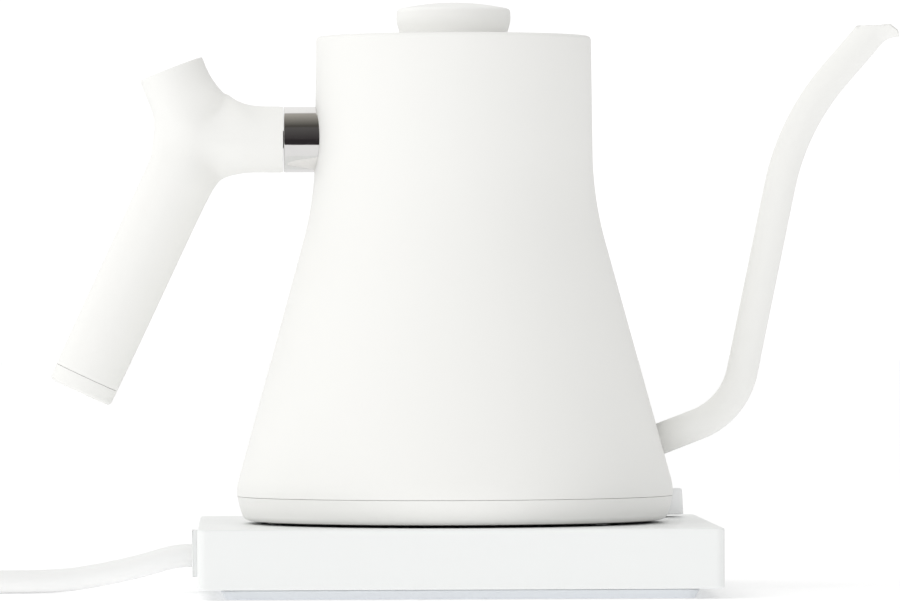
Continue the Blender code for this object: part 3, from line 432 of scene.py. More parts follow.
def lathe(section, steps, closed=True):
    """Spin a section of (radius, height) points about Z into a closed shape."""
    shape = bmesh.new()
    points = [shape.verts.new((max(0.0, u), 0.0, v)) for u, v in section]
    pairs = list(zip(points, points[1:]))
    if closed:
        pairs.append((points[-1], points[0]))
    for first, second in pairs:
        shape.edges.new((first, second))
    bmesh.ops.spin(shape, geom=shape.verts[:] + shape.edges[:], axis=(0.0, 0.0, 1.0),
                   cent=(0.0, 0.0, 0.0), angle=2 * math.pi, steps=steps, use_merge=True)
    bmesh.ops.remove_doubles(shape, verts=shape.verts, dist=1e-6)
    bmesh.ops.dissolve_degenerate(shape, edges=shape.edges, dist=1e-7)
    bmesh.ops.recalc_face_normals(shape, faces=shape.faces)
    return shape


def body_line(drop_to):
    """The outer line of the body from the mouth's lip over the rim and down to a height."""
    cone_top = cone_z + (cone_radius - neck_foot_radius) / cone_slope
    cone_foot = cone_z - (seam_radius - cone_radius) / cone_slope
    lip = rounded_line([
        (mouth_radius, rim_z - mouth_depth), (mouth_radius, rim_z, 1.6 * mm),
        (rim_radius, rim_z, 1.5 * mm), (neck_foot_radius, cone_top + 20 * mm),
    ], 10.0)
    wall = rounded_line([
        (rim_radius, rim_z), (neck_foot_radius, cone_top, 120.0 * mm),
        (seam_radius, cone_foot, 18.0 * mm), (seam_radius, drop_to),
    ], 0.8)
    return lip[:-1] + wall[1:]


powder_coat = coated("white_powder_coat", (0.865, 0.863, 0.843), (0.85, 0.848, 0.83), 0.52,
                     0.00035, 0.45, 0.000012)
mesh_piece("kettle_shell", lathe(sheet_section(body_line(seam_z + seam_gap / 2), body_wall),
                                 body_steps),
           powder_coat, "kettle", "white_coat", "kettle_body")

# ---- Bottom cover
# A second spun steel ring in the same coat. It tucks under the body, leaves a hairline seam
# and turns in to hold the black underside.
bottom_z = 24.8 * mm
underside_radius = 68.2 * mm
cover_line = rounded_line([
    (75.05 * mm, seam_z - seam_gap / 2), (74.2 * mm, 29.0 * mm, 15.0 * mm),
    (72.6 * mm, bottom_z, 3.0 * mm), (underside_radius + 0.3 * mm, bottom_z),
], 6.0)
mesh_piece("bottom_ring", lathe(sheet_section(cover_line, 1.5 * mm), body_steps),
           powder_coat, "kettle", "white_coat", "bottom_cover")

# ---- Spout
# One length of steel tube, 10.8 mm outside, bent twice and flared at the mouth, where it is
# cut level and then sloped to a pouring lip. Its foot is welded to the cone.
spout_radius = 5.4 * mm
spout_wall = 0.9 * mm
spout_straight = 18.8 * mm
spout_root = (60.0 * mm, 48.25 * mm)
spout_low_bend = (96.6 * mm, 62.3 * mm, 25.0 * mm)
spout_high_bend = (117.05 * mm, 161.1 * mm, 85.0 * mm)
spout_aim = (150.8 * mm, 200.0 * mm)
spout_mouth_z = 195.0 * mm
spout_tip_x = 153.8 * mm
spout_tip_z = 192.2 * mm
spout_foot_z = 53.2 * mm
weld_depth = 0.55 * mm
lip_rings = 18
lip_curve = 0.0235 / mm
lip_slope = 1.2
spout_sides = 48

spout_line = [Vector((u, 0.0, v)) for u, v in
              rounded_line([spout_root, spout_low_bend, spout_high_bend, spout_aim], 2.0)]
spout_run = (spout_line[-1] - spout_line[-2]).normalized()
spout_outward = Vector((spout_run.z, 0.0, -spout_run.x))
spout_neck = spout_line[-2] + spout_run * spout_straight
lip_reach = [0.5 * mm * count for count in range(lip_rings)]
lip_turn = [lip_curve * reach ** 2 for reach in lip_reach]
straight_part = [spout_line[-2] + spout_run * spout_straight * count / 8 for count in range(1, 8)]
spout_line[-1:] = [*straight_part, *(spout_neck + spout_run * reach + spout_outward * extra
                                     for reach, extra in zip(lip_reach, lip_turn))]
spout_radii = [spout_radius] * (len(spout_line) - len(lip_turn))
spout_radii += [spout_radius + extra for extra in lip_turn]


def ring_frame(line, index):
    """The matrix that stands a ring upright on a line in the middle plane."""
    before = line[max(0, index - 1)]
    after = line[min(len(line) - 1, index + 1)]
    run = (after - before).normalized()
    turn = Matrix((Vector((run.z, 0.0, -run.x)), Vector((0.0, 1.0, 0.0)), run)).transposed()
    return Matrix.Translation(line[index]) @ turn.to_4x4()


def swept_tube(line, radii, sides):
    """An open tube: one ring, extruded from point to point along the line."""
    shape = bmesh.new()
    bmesh.ops.create_circle(shape, segments=sides, radius=radii[0],
                            matrix=ring_frame(line, 0))
    rim = shape.edges[:]
    for index in range(1, len(line)):
        grown = bmesh.ops.extrude_edge_only(shape, edges=rim)["geom"]
        verts = [item for item in grown if isinstance(item, bmesh.types.BMVert)]
        rim = [item for item in grown if isinstance(item, bmesh.types.BMEdge)]
        back = ring_frame(line, index - 1).inverted()
        bmesh.ops.transform(shape, matrix=back, verts=verts)
        growth = radii[index] / radii[index - 1]
        bmesh.ops.scale(shape, vec=(growth, growth, 1.0), verts=verts)
        bmesh.ops.transform(shape, matrix=ring_frame(line, index), verts=verts)
    return shape


def trim(shape, point, away):
    """Cut off what lies past a plane, on the side that its direction points to."""
    bmesh.ops.bisect_plane(shape, geom=shape.verts[:] + shape.edges[:] + shape.faces[:],
                           plane_co=point, plane_no=away, clear_outer=True, dist=1e-7)


spout_shape = swept_tube(spout_line, spout_radii, spout_sides)
spout_foot_x = cone_radius + (cone_z - spout_foot_z) * cone_slope - weld_depth
trim(spout_shape, (spout_foot_x, 0.0, spout_foot_z), (-1.0, 0.0, -cone_slope))
trim(spout_shape, (0.0, 0.0, spout_mouth_z), (0.0, 0.0, 1.0))
trim(spout_shape, (spout_tip_x, 0.0, spout_tip_z), (1.0, 0.0, lip_slope))
trim(spout_shape, (spout_tip_x, 0.0, 0.0), (1.0, 0.0, 0.0))
spout = mesh_piece("spout_tube", spout_shape, powder_coat, "kettle", "white_coat", "spout",
                   crease=50.0)
spout_sheet = spout.modifiers.new("wall", "SOLIDIFY")
spout_sheet.thickness = spout_wall
spout_sheet.offset = -1.0

# ---- Handle
# The grip is one glass-filled nylon moulding with a soft-touch skin: a short stub above, the
# arm to the collar, and the long grip below, all round and blended where they meet.
hub = Vector((-88.4 * mm, 156.1 * mm))
limb_radius = 11.35 * mm
grip_radius = 11.9 * mm
grip_end_radius = 11.45 * mm
stub_lean = math.radians(21.2)
grip_lean = math.radians(25.1)
stub_length = 26.1 * mm
grip_length = 90.25 * mm
collar_outer_x = -58.65 * mm
fine_gap = 0.3 * mm
cage_rounds = 60

stub_way = Vector((-math.sin(stub_lean), math.cos(stub_lean)))
arm_way = Vector((1.0, 0.0))
grip_way = Vector((-math.sin(grip_lean), -math.cos(grip_lean)))
r = limb_radius
# each ring of a limb: distance from the hub, reach to its left and right, half depth
limbs = [
    (stub_way, [(12.5 * mm, 11.4 * mm, 14.0 * mm, r), (19.5 * mm, 11.1 * mm, 12.1 * mm, r),
                (stub_length, 11.0 * mm, 11.8 * mm, r), (34.0 * mm, r, r, r)]),
    (arm_way, [(13.5 * mm, 13.6 * mm, 12.0 * mm, r), (20.0 * mm, 11.7 * mm, r, r),
               (29.3 * mm, r, r, r), (38.0 * mm, r, r, r)]),
    (grip_way, [(12.0 * mm, 12.4 * mm, 12.3 * mm, grip_radius),
                (22.0 * mm, 11.8 * mm, 12.0 * mm, grip_radius),
                (55.0 * mm, 11.7 * mm, 11.8 * mm, 11.7 * mm),
                (grip_length, 11.4 * mm, 11.5 * mm, grip_end_radius),
                (100.0 * mm, 11.4 * mm, 11.4 * mm, 11.4 * mm)]),
]
# each web between two limbs: reach from the hub, its half-way share, the depth there
webs = [(18.8 * mm, 0.66, 6.9 * mm), (16.1 * mm, 0.69, 7.0 * mm), (15.3 * mm, 0.70, 7.4 * mm)]
handle_cage = bmesh.new()
cage_aims = {}


def cage_point(place, depth, aimed=True):
    """A cage vertex, which the smooth skin is drawn through if it is aimed."""
    vert = handle_cage.verts.new((place.x, -depth, place.y))
    if aimed:
        cage_aims[vert] = vert.co.copy()
    return vert


def skin_point(vert):
    """Where repeated subdivision takes a cage vertex."""
    count = len(vert.link_edges)
    near = sum((edge.other_vert(vert).co for edge in vert.link_edges), Vector())
    beside = {v for edge in vert.link_edges for v in edge.verts}
    far = sum((v.co for face in vert.link_faces for v in face.verts if v not in beside),
              Vector())
    return (vert.co * count ** 2 + near * 4 + far) / (count * (count + 5))


hub_depth = 11.5 * mm
hub_front = cage_point(hub, hub_depth)
hub_rear = cage_point(hub, -hub_depth)
inner_rings = []
for way, rings in limbs:
    left = Vector((-way.y, way.x))
    last_ring = None
    for number, (distance, reach_left, reach_right, depth) in enumerate(rings):
        loop = []
        for eighth in range(8):
            angle = math.radians(45.0 * eighth)
            reach = reach_left if math.cos(angle) > 0 else reach_right
            loop.append(cage_point(hub + way * distance + left * reach * math.cos(angle),
                                   depth * math.sin(angle), number < len(rings) - 1))
        if last_ring:
            for index in range(8):
                after = (index + 1) % 8
                handle_cage.faces.new((last_ring[index], last_ring[after], loop[after],
                                       loop[index]))
        else:
            inner_rings.append(loop)
        last_ring = loop
    handle_cage.faces.new(last_ring)
for index, (reach, share, depth) in enumerate(webs):
    here = inner_rings[index]
    after = inner_rings[(index + 1) % 3]
    bisector = (limbs[index][0] + limbs[(index + 1) % 3][0]).normalized()
    edge = cage_point(hub + bisector * reach, 0.0)
    for side, centre, quarter, here_mid, after_mid in ((1, hub_front, 2, 3, 1),
                                                       (-1, hub_rear, 6, 5, 7)):
        middle = cage_point(hub + bisector * reach * share, side * depth)
        handle_cage.faces.new((centre, here[quarter], here[here_mid], middle))
        handle_cage.faces.new((middle, here[here_mid], here[4], edge))
        handle_cage.faces.new((centre, middle, after[after_mid], after[quarter]))
        handle_cage.faces.new((middle, edge, after[0], after[after_mid]))
bmesh.ops.recalc_face_normals(handle_cage, faces=handle_cage.faces)
for _ in range(cage_rounds):
    pulls = {vert: aim - skin_point(vert) for vert, aim in cage_aims.items()}
    for vert, pull in pulls.items():
        vert.co += pull


def evaluated(shape, *steps):
    """The bmesh of a shape after modifiers, given as (kind, settings) pairs."""
    mesh = bpy.data.meshes.new("work")
    shape.to_mesh(mesh)
    shape.free()
    work = bpy.data.objects.new("work", mesh)
    scene.collection.objects.link(work)
    for kind, settings in steps:
        step = work.modifiers.new(kind.lower(), kind)
        for key, value in settings.items():
            setattr(step, key, value)
    result = bmesh.new()
    result.from_object(work, bpy.context.evaluated_depsgraph_get())
    bpy.data.objects.remove(work)
    bpy.data.meshes.remove(mesh)
    return result


def cap_off(shape, point, away, round_off):
    """Cut a closed shape square at a plane, close it and round the new edge."""
    cut = bmesh.ops.bisect_plane(shape, geom=shape.verts[:] + shape.edges[:] + shape.faces[:],
                                 plane_co=point, plane_no=away, clear_outer=True, dist=1e-7)
    rim = [item for item in cut["geom_cut"] if isinstance(item, bmesh.types.BMEdge)]
    bmesh.ops.contextual_create(shape, geom=rim)
    bmesh.ops.bevel(shape, geom=rim, offset=round_off, offset_type="OFFSET", segments=3,
                    profile=0.5, affect="EDGES", material=-1, clamp_overlap=True)


def plane_point(flat):
    """A place given in X and Z on the kettle's middle plane."""
    return Vector((flat.x, 0.0, flat.y))


grip_seam = plane_point(hub + grip_way * grip_length)
handle_shape = evaluated(handle_cage, ("SUBSURF", {"levels": 4, "render_levels": 4}))
cap_off(handle_shape, (collar_outer_x - fine_gap, 0.0, hub.y), (1.0, 0.0, 0.0), 0.25 * mm)
cap_off(handle_shape, plane_point(hub + stub_way * stub_length), plane_point(stub_way), 0.6 * mm)
cap_off(handle_shape, grip_seam, plane_point(grip_way), 0.12 * mm)
soft_nylon = coated("white_soft_nylon", (0.865, 0.863, 0.843), (0.85, 0.848, 0.832), 0.48,
                    0.00045, 0.25, 0.000016)
mesh_piece("handle_moulding", handle_shape, soft_nylon, "kettle", "white_plastic",
           "handle_grip", crease=35.0)
cap_gap = 0.1 * mm
cap_length = 5.7 * mm
cap_plug_radius = 8.0 * mm
end_axis = Matrix.Translation(grip_seam) @ Matrix.Rotation(grip_lean - math.pi, 4, "Y")
end_line = rounded_line([
    (0.0, -10.0 * mm), (cap_plug_radius, -10.0 * mm), (cap_plug_radius, cap_gap),
    (grip_end_radius, cap_gap, 0.12 * mm), (11.3 * mm, cap_length, 1.3 * mm),
    (0.0, cap_length),
], 15.0)
mesh_piece("handle_end_plug", lathe(end_line, 96, closed=False), soft_nylon, "kettle",
           "white_plastic", "handle_end_cap", axis=end_axis)

# ---- Collar
# A short sleeve of polished stainless tube between the handle and the body, held by the
# stud that runs through it. Its inner end is cut to lie on the body's round neck.
collar_bore = 8.2 * mm
collar_length = 15.0 * mm
collar_overlap = 0.05 * mm
neck_foot_z = 135.6 * mm
collar_ring = rounded_line([
    (collar_bore, collar_length), (limb_radius, collar_length), (limb_radius, 0.0, 0.3 * mm),
    (collar_bore, 0.0),
], 30.0)
collar_axis = (Matrix.Translation((collar_outer_x, 0.0, hub.y))
               @ Matrix.Rotation(math.radians(90.0), 4, "Y"))
collar_shape = lathe(collar_ring, 128)
bmesh.ops.transform(collar_shape, matrix=collar_axis, verts=collar_shape.verts)
for vert in collar_shape.verts:
    if vert.co.x > collar_outer_x + collar_length / 3:
        up_neck = (vert.co.z - neck_foot_z) / (rim_z - neck_foot_z)
        neck_radius = neck_foot_radius + (rim_radius - neck_foot_radius) * up_neck
        vert.co.x = -math.sqrt((neck_radius + collar_overlap) ** 2 - vert.co.y ** 2)


def brushed_group():
    """Fine lines round an axis or along a direction, as polishing leaves them."""
    group = bpy.data.node_groups.new("polish_lines", "ShaderNodeTree")
    face = group.interface
    stretch = face.new_socket("Stretch", in_out="INPUT", socket_type="NodeSocketVector")
    stretch.default_value = (200.0, 4000.0, 4000.0)
    face.new_socket("Lines", in_out="OUTPUT", socket_type="NodeSocketFloat")
    face.new_socket("Smears", in_out="OUTPUT", socket_type="NodeSocketFloat")
    links = group.links
    given = add_node(group, "NodeGroupInput")
    result = add_node(group, "NodeGroupOutput")
    where = add_node(group, "ShaderNodeTexCoord")
    scaled = add_node(group, "ShaderNodeVectorMath", operation="MULTIPLY")
    links.new(where.outputs["Object"], scaled.inputs[0])
    links.new(given.outputs["Stretch"], scaled.inputs[1])
    lines = add_node(group, "ShaderNodeTexNoise")
    lines.inputs["Scale"].default_value = 1.0
    lines.inputs["Detail"].default_value = 3.0
    links.new(scaled.outputs[0], lines.inputs["Vector"])
    links.new(lines.outputs["Fac"], result.inputs["Lines"])
    smears = add_node(group, "ShaderNodeTexNoise")
    smears.inputs["Scale"].default_value = 260.0
    smears.inputs["Detail"].default_value = 4.0
    links.new(where.outputs["Object"], smears.inputs["Vector"])
    links.new(smears.outputs["Fac"], result.inputs["Smears"])
    return group


polish_lines = brushed_group()


def metal(name, colour, tint, rough, stretch, bump, anisotropic=0.0):
    """A bare metal whose gloss follows its polishing lines and its tone faint smears."""
    made, shader, texture = textured(name, polish_lines, (colour, tint),
                                     (rough * 0.75, rough * 1.25),
                                     ("Smears", "Lines", "Lines"), bump)
    shader.inputs["Metallic"].default_value = 1.0
    shader.inputs["Anisotropic"].default_value = anisotropic
    texture.inputs["Stretch"].default_value = stretch
    return made


polished_steel = metal("polished_steel", (0.84, 0.83, 0.82), (0.80, 0.79, 0.785), 0.06,
                       (120.0, 2600.0, 2600.0), 0.0000015)
mesh_piece("handle_sleeve", collar_shape, polished_steel, "kettle", "polished_steel",
           "handle_collar", crease=40.0)

# ---- Lid
# A coated steel disc with a turned-down edge, a moulded inner lid that carries the silicone
# gasket, and a smooth domed knob with a shallow waist, held by one screw from below.
lid_top = 191.2 * mm
lid_radius = 37.4 * mm
lid_knob_top = 203.2 * mm
lid_knob_radius = 19.75 * mm
lid_line = rounded_line([
    (2.4 * mm, lid_top), (lid_radius, lid_top, 1.0 * mm), (lid_radius, 187.6 * mm, 0.3 * mm),
    (36.4 * mm, 187.6 * mm, 0.3 * mm), (36.4 * mm, lid_top - 1.0 * mm),
    (2.4 * mm, lid_top - 1.0 * mm),
], 12.0)
mesh_piece("lid_disc", lathe(lid_line, 128), powder_coat, "lid", "white_coat", "lid_plate")
knob_line = rounded_line([
    (0.0, lid_knob_top), (8.0 * mm, lid_knob_top, 90 * mm), (19.6 * mm, 201.0 * mm, 1.6 * mm),
    (lid_knob_radius, 196.6 * mm, 9.0 * mm), (18.2 * mm, lid_top + fine_gap, 0.6 * mm),
    (2.3 * mm, lid_top + fine_gap), (2.3 * mm, 198.0 * mm), (0.0, 198.0 * mm),
], 1.5)
lid_nylon = coated("lid_knob_nylon", (0.90, 0.898, 0.88), (0.885, 0.883, 0.868), 0.46,
                   0.00045, 0.3, 0.000012)
mesh_piece("lid_handle", lathe(knob_line, 128, closed=False), lid_nylon, "lid",
           "white_plastic", "lid_knob")

# ---- Powered base
# A square box moulded in satin white ABS, with screw posts inside, holes for the power
# post, the knob, the display and the cord's gland, and a flat tray screwed in below.
base_half_width = 88.5 * mm
base_front = -79.0 * mm
base_back = 99.0 * mm
base_top = 23.8 * mm
base_bottom = 3.4 * mm
base_corner = 3.0 * mm
base_edge = 0.8 * mm
base_wall = 2.0 * mm
connector_radius = 15.5 * mm
sleeve_radius = 5.8 * mm
knob_hole_radius = 4.0 * mm
knob_x = 71.6 * mm
knob_y = 66.0 * mm
well_floor = 15 * mm
past_top = 30 * mm
display_low, display_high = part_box("display_window")


def block(low, high, corner, edge, draft=0.0, segments=8):
    """A box between two corners, upright edges rounded, then its top and bottom edges."""
    low = Vector(low)
    high = Vector(high)
    shape = bmesh.new()
    bmesh.ops.create_cube(shape, size=1.0)
    bmesh.ops.scale(shape, verts=shape.verts, vec=high - low)
    upright = [e for e in shape.edges if abs((e.verts[0].co - e.verts[1].co).z) > 1e-6]
    bmesh.ops.bevel(shape, geom=upright, offset=corner, segments=segments, profile=0.5,
                    affect="EDGES", material=-1)
    for vert in shape.verts:
        if draft and vert.co.z < 0.0:
            vert.co.x -= math.copysign(draft, vert.co.x)
            vert.co.y -= math.copysign(draft, vert.co.y)
    if edge:
        level = [e for e in shape.edges if abs((e.verts[0].co - e.verts[1].co).z) < 1e-6]
        bmesh.ops.bevel(shape, geom=level, offset=edge, segments=4, profile=0.5,
                        affect="EDGES", material=-1)
    bmesh.ops.translate(shape, vec=(low + high) / 2, verts=shape.verts)
    return shape


def rod_shape(radius, start, end, segments=64):
    """A plain round bar between two points."""
    start = Vector(start)
    end = Vector(end)
    shape = bmesh.new()
    bmesh.ops.create_cone(shape, cap_ends=True, segments=segments, radius1=radius,
                          radius2=radius, depth=(end - start).length)
    turn = (end - start).to_track_quat("Z", "Y").to_matrix().to_4x4()
    bmesh.ops.transform(shape, matrix=Matrix.Translation((start + end) / 2) @ turn,
                        verts=shape.verts)
    return shape


def combined(shape, *tools):
    """Cut shapes from a shape, or join them to it; each is (operation, shape)."""
    cutters = []
    steps = []
    for operation, tool in tools:
        mesh = bpy.data.meshes.new("tool")
        tool.to_mesh(mesh)
        tool.free()
        cutter = bpy.data.objects.new("tool", mesh)
        scene.collection.objects.link(cutter)
        cutters.append(cutter)
        steps.append(("BOOLEAN", {"operation": operation, "solver": "EXACT",
                                  "object": cutter}))
    result = evaluated(shape, *steps)
    for cutter in cutters:
        bpy.data.objects.remove(cutter)
    bmesh.ops.remove_doubles(result, verts=result.verts, dist=1e-6)
    return result


def soften_holes(shape, width, level):
    """Round the sharp edges of the openings at one level of a moulding."""
    rim = [e for e in shape.edges if len(e.link_faces) == 2
           and e.calc_face_angle(0.0) > math.radians(60.0)
           and all(abs(v.co.z - level) < 1e-5 for v in e.verts)]
    bmesh.ops.bevel(shape, geom=rim, offset=width, segments=2, profile=0.5,
                    affect="EDGES", material=-1)


post_inset = 8.5 * mm
post_radius = 3.6 * mm
post_hole_radius = 1.5 * mm
posts = [(sx * (base_half_width - post_inset), y) for sx in (-1, 1)
         for y in (base_front + post_inset, base_back - post_inset)]
cavity = block((base_wall - base_half_width, base_front + base_wall, 0.0),
               (base_half_width - base_wall, base_back - base_wall, base_top - base_wall),
               base_corner - base_wall + 0.4 * mm, 0.0, segments=4)
base_tools = [("DIFFERENCE", cavity)]
base_tools += [("UNION", rod_shape(post_radius, (x, y, 6.5 * mm), (x, y, 22.5 * mm), 24))
               for x, y in posts]
base_tools += [("DIFFERENCE", rod_shape(post_hole_radius, (x, y, 4 * mm), (x, y, 18 * mm), 16))
               for x, y in posts]
base_tools += [
    ("DIFFERENCE", rod_shape(connector_radius + fine_gap, (0, 0, 0), (0, 0, past_top), 96)),
    ("DIFFERENCE", rod_shape(knob_hole_radius, (knob_x, knob_y, well_floor),
                             (knob_x, knob_y, past_top), 48)),
    ("DIFFERENCE", block((display_low.x - fine_gap, display_low.y - fine_gap, well_floor),
                         (display_high.x + fine_gap, display_high.y + fine_gap, past_top),
                         0.5 * mm, 0.0, segments=3)),
    ("DIFFERENCE", rod_shape(sleeve_radius + fine_gap, (-95 * mm, 0, cord_exit.z),
                             (-80 * mm, 0, cord_exit.z))),
]
base_shape = combined(block((-base_half_width, base_front, base_bottom),
                            (base_half_width, base_back, base_top), base_corner, base_edge),
                      *base_tools)
soften_holes(base_shape, 0.2 * mm, base_top)
base_abs = coated("white_base_abs", (0.85, 0.862, 0.858), (0.838, 0.85, 0.848), 0.36,
                  0.0006, 0.4, 0.000008)
mesh_piece("base_housing", base_shape, base_abs, "base", "white_plastic", "base_cover",
           crease=32.0, flat=True)

# ---- Foot pad
# A pale blue-grey silicone mat, bonded under the tray and drawn in towards the table, so
# that the base seems to float on a thin shadow.
pad_inset = 7.9 * mm
pad_height = 3.1 * mm
pad_draft = 1.4 * mm
pad_silicone = coated("pad_silicone", (0.90, 0.925, 0.955), (0.885, 0.915, 0.95), 0.6,
                      0.0004, 0.2, 0.00002)
mesh_piece("silicone_pad",
           block((pad_inset - base_half_width, base_front + pad_inset, 0.0),
                 (base_half_width - pad_inset, base_back - pad_inset, pad_height),
                 4.0 * mm, 0.35 * mm, draft=pad_draft),
           pad_silicone, "base", "silicone", "foot_pad", flat=True)

# ---- Control knob
# A solid-looking round knob that turns and presses: a moulded cap with softened edges over
# the encoder's shaft, and one fine pointer groove across its top.
knob_radius = 11.0 * mm
knob_bottom = 24.8 * mm
knob_top = 33.9 * mm
pocket_radius = 3.3 * mm
pocket_top = 30.8 * mm
groove_half_width = 0.35 * mm
dial_line = rounded_line([
    (0.0, knob_top), (knob_radius - 0.5 * mm, knob_top, 0.9 * mm),
    (knob_radius, knob_bottom, 0.3 * mm), (pocket_radius, knob_bottom),
    (pocket_radius, pocket_top), (0.0, pocket_top),
], 8.0)
dial_shape = lathe(dial_line, 96, closed=False)
pointer = block((-groove_half_width, 4.0 * mm, knob_top - 0.35 * mm),
                (groove_half_width, 8.6 * mm, knob_top + mm), 0.3 * mm, 0.0, segments=4)
dial_shape = combined(dial_shape, ("DIFFERENCE", pointer))
knob_nylon = coated("knob_nylon", (0.87, 0.878, 0.878), (0.855, 0.865, 0.87), 0.42,
                    0.0004, 0.3, 0.00001)
mesh_piece("dial", dial_shape, knob_nylon, "knob", "white_plastic", "control_knob",
           axis=Matrix.Translation((knob_x, knob_y, 0.0)), flat=True)

# ---- Cord gland
# The moulded boss that the cord leaves the base through: a square plate against the side,
# and behind it the sleeve that the clamp holds inside.
gland_z = 13.6 * mm
gland_half = 8.0 * mm
gland_shape = block((cord_exit.x, -gland_half, gland_z - gland_half),
                    (-base_half_width - fine_gap, gland_half, gland_z + gland_half),
                    0.3 * mm, 0.0, segments=3)
outer_edges = [e for e in gland_shape.edges if all(v.co.x < cord_exit.x + 1e-5 for v in e.verts)]
bmesh.ops.bevel(gland_shape, geom=outer_edges, offset=0.5 * mm, segments=4, profile=0.5,
                affect="EDGES", material=-1)
gland_shape = combined(gland_shape, ("UNION", rod_shape(
    sleeve_radius, (-89.5 * mm, 0, cord_exit.z), (-68.6 * mm, 0, cord_exit.z))))
mesh_piece("gland_boss", gland_shape, base_abs, "base", "white_plastic", "cord_gland",
           crease=32.0, flat=True)

# ---- Mains plug
# A moulded three-pin plug in the cord's own PVC: a ribbed neck that bends with the cord, a
# body with finger hollows in its sides, two flat blades and a round earth pin.
plug_neck = 18.0 * mm
plug_half_width = 13.5 * mm
plug_half_height = 12.5 * mm
plug_length = 30.0 * mm
plug_start = plug_y + plug_neck
plug_pvc = coated("plug_pvc", (0.80, 0.80, 0.80), (0.77, 0.775, 0.78), 0.4,
                  0.0007, 0.5, 0.00003)
plug_shape = block((-plug_half_width, -plug_half_height, 0.0),
                   (plug_half_width, plug_half_height, plug_length), 4.0 * mm, 1.2 * mm)
slices = 14
for number in range(1, slices):
    bmesh.ops.bisect_plane(plug_shape, plane_no=(0.0, 0.0, 1.0), dist=1e-7,
                           geom=plug_shape.verts[:] + plug_shape.edges[:] + plug_shape.faces[:],
                           plane_co=(0.0, 0.0, plug_length * number / slices))
for vert in plug_shape.verts:
    along = vert.co.z / plug_length
    vert.co.x *= 1.0 - 0.16 * math.sin(math.pi * min(1.0, along * 1.1)) ** 2
    vert.co.y *= 1.0 - 0.22 * (1.0 - ease(along / 0.55))
neck_line = [(0.0, 6.0 * mm), (7.6 * mm, 6.0 * mm)]
ribs = 5
for number in range(ribs):
    rib_z = -plug_neck * (number + 0.15) / ribs
    rib_radius = 7.3 * mm - 0.45 * mm * number
    neck_line += rounded_line([
        (rib_radius - 1.1 * mm, rib_z), (rib_radius, rib_z, 0.4 * mm),
        (rib_radius - 0.2 * mm, rib_z - 2.2 * mm, 0.4 * mm),
        (rib_radius - 1.3 * mm, rib_z - 2.2 * mm),
    ], 30.0)
neck_line += [(4.6 * mm, -plug_neck + 0.2 * mm), (4.1 * mm, -plug_neck), (0.0, -plug_neck)]
plug_tools = [("UNION", lathe(neck_line, 64, closed=False))]
blade_z = -4.5 * mm
blade_offset = 6.35 * mm
blade_half_thickness = 0.75 * mm
blade_half_width = 3.15 * mm
earth_z = 7.4 * mm
earth_radius = 2.4 * mm
pin_root = plug_length - 6 * mm
slot_root = pin_root - fine_gap
slot_end = plug_length + 9 * mm
for side in (-1, 1):
    plug_tools.append(("DIFFERENCE", block(
        (side * blade_offset - blade_half_thickness - fine_gap,
         blade_z - blade_half_width - fine_gap, slot_root),
        (side * blade_offset + blade_half_thickness + fine_gap,
         blade_z + blade_half_width + fine_gap, slot_end), 0.2 * mm, 0.0, segments=2)))
plug_tools.append(("DIFFERENCE", rod_shape(earth_radius + fine_gap, (0.0, earth_z, slot_root),
                                           (0.0, earth_z, slot_end))))
plug_shape = combined(plug_shape, *plug_tools)
# the plug points along +Y: its own length is turned from Z to Y and its height from Y to Z
plug_axis = (Matrix.Translation((plug_x, plug_start, plug_z))
             @ Matrix(((-1, 0, 0, 0), (0, 0, 1, 0), (0, 1, 0, 0), (0, 0, 0, 1))))
mains_plug = mesh_piece("moulded_plug", plug_shape, plug_pvc, "base", "cord", "plug_body",
                        crease=40.0, axis=plug_axis)
brass = metal("plug_brass", (0.83, 0.66, 0.36), (0.76, 0.59, 0.31), 0.24,
              (900.0, 150.0, 3000.0), 0.000003)
for number, side in enumerate((1, -1), 1):
    blade_shape = block((side * blade_offset - blade_half_thickness,
                         blade_z - blade_half_width, pin_root),
                        (side * blade_offset + blade_half_thickness,
                         blade_z + blade_half_width, plug_length + 17 * mm),
                        0.25 * mm, 0.3 * mm, segments=3)
    mesh_piece(f"flat_blade_{number}", blade_shape, brass, "base", "brass",
                           f"plug_blade_{number}", axis=plug_axis)
earth_line = rounded_line([
    (0.0, pin_root), (earth_radius, pin_root),
    (earth_radius, plug_length + 20 * mm, 1.8 * mm), (0.0, plug_length + 20 * mm),
], 15.0)
mesh_piece("round_earth_pin", lathe(earth_line, 48, closed=False), brass, "base",
                       "brass", "plug_earth_pin",
                       axis=plug_axis @ Matrix.Translation((0.0, earth_z, 0.0)))

# ---- Underneath the kettle
# A black nylon plate closes the kettle from below, on three screws, with three small
# silicone feet and the white power connector in its middle.
nodes = frame["nodes"]


def dress(look, *names):
    """Give carried-over pieces their material."""
    for name in names:
        for slot in nodes[name].material_slots:
            slot.material = look


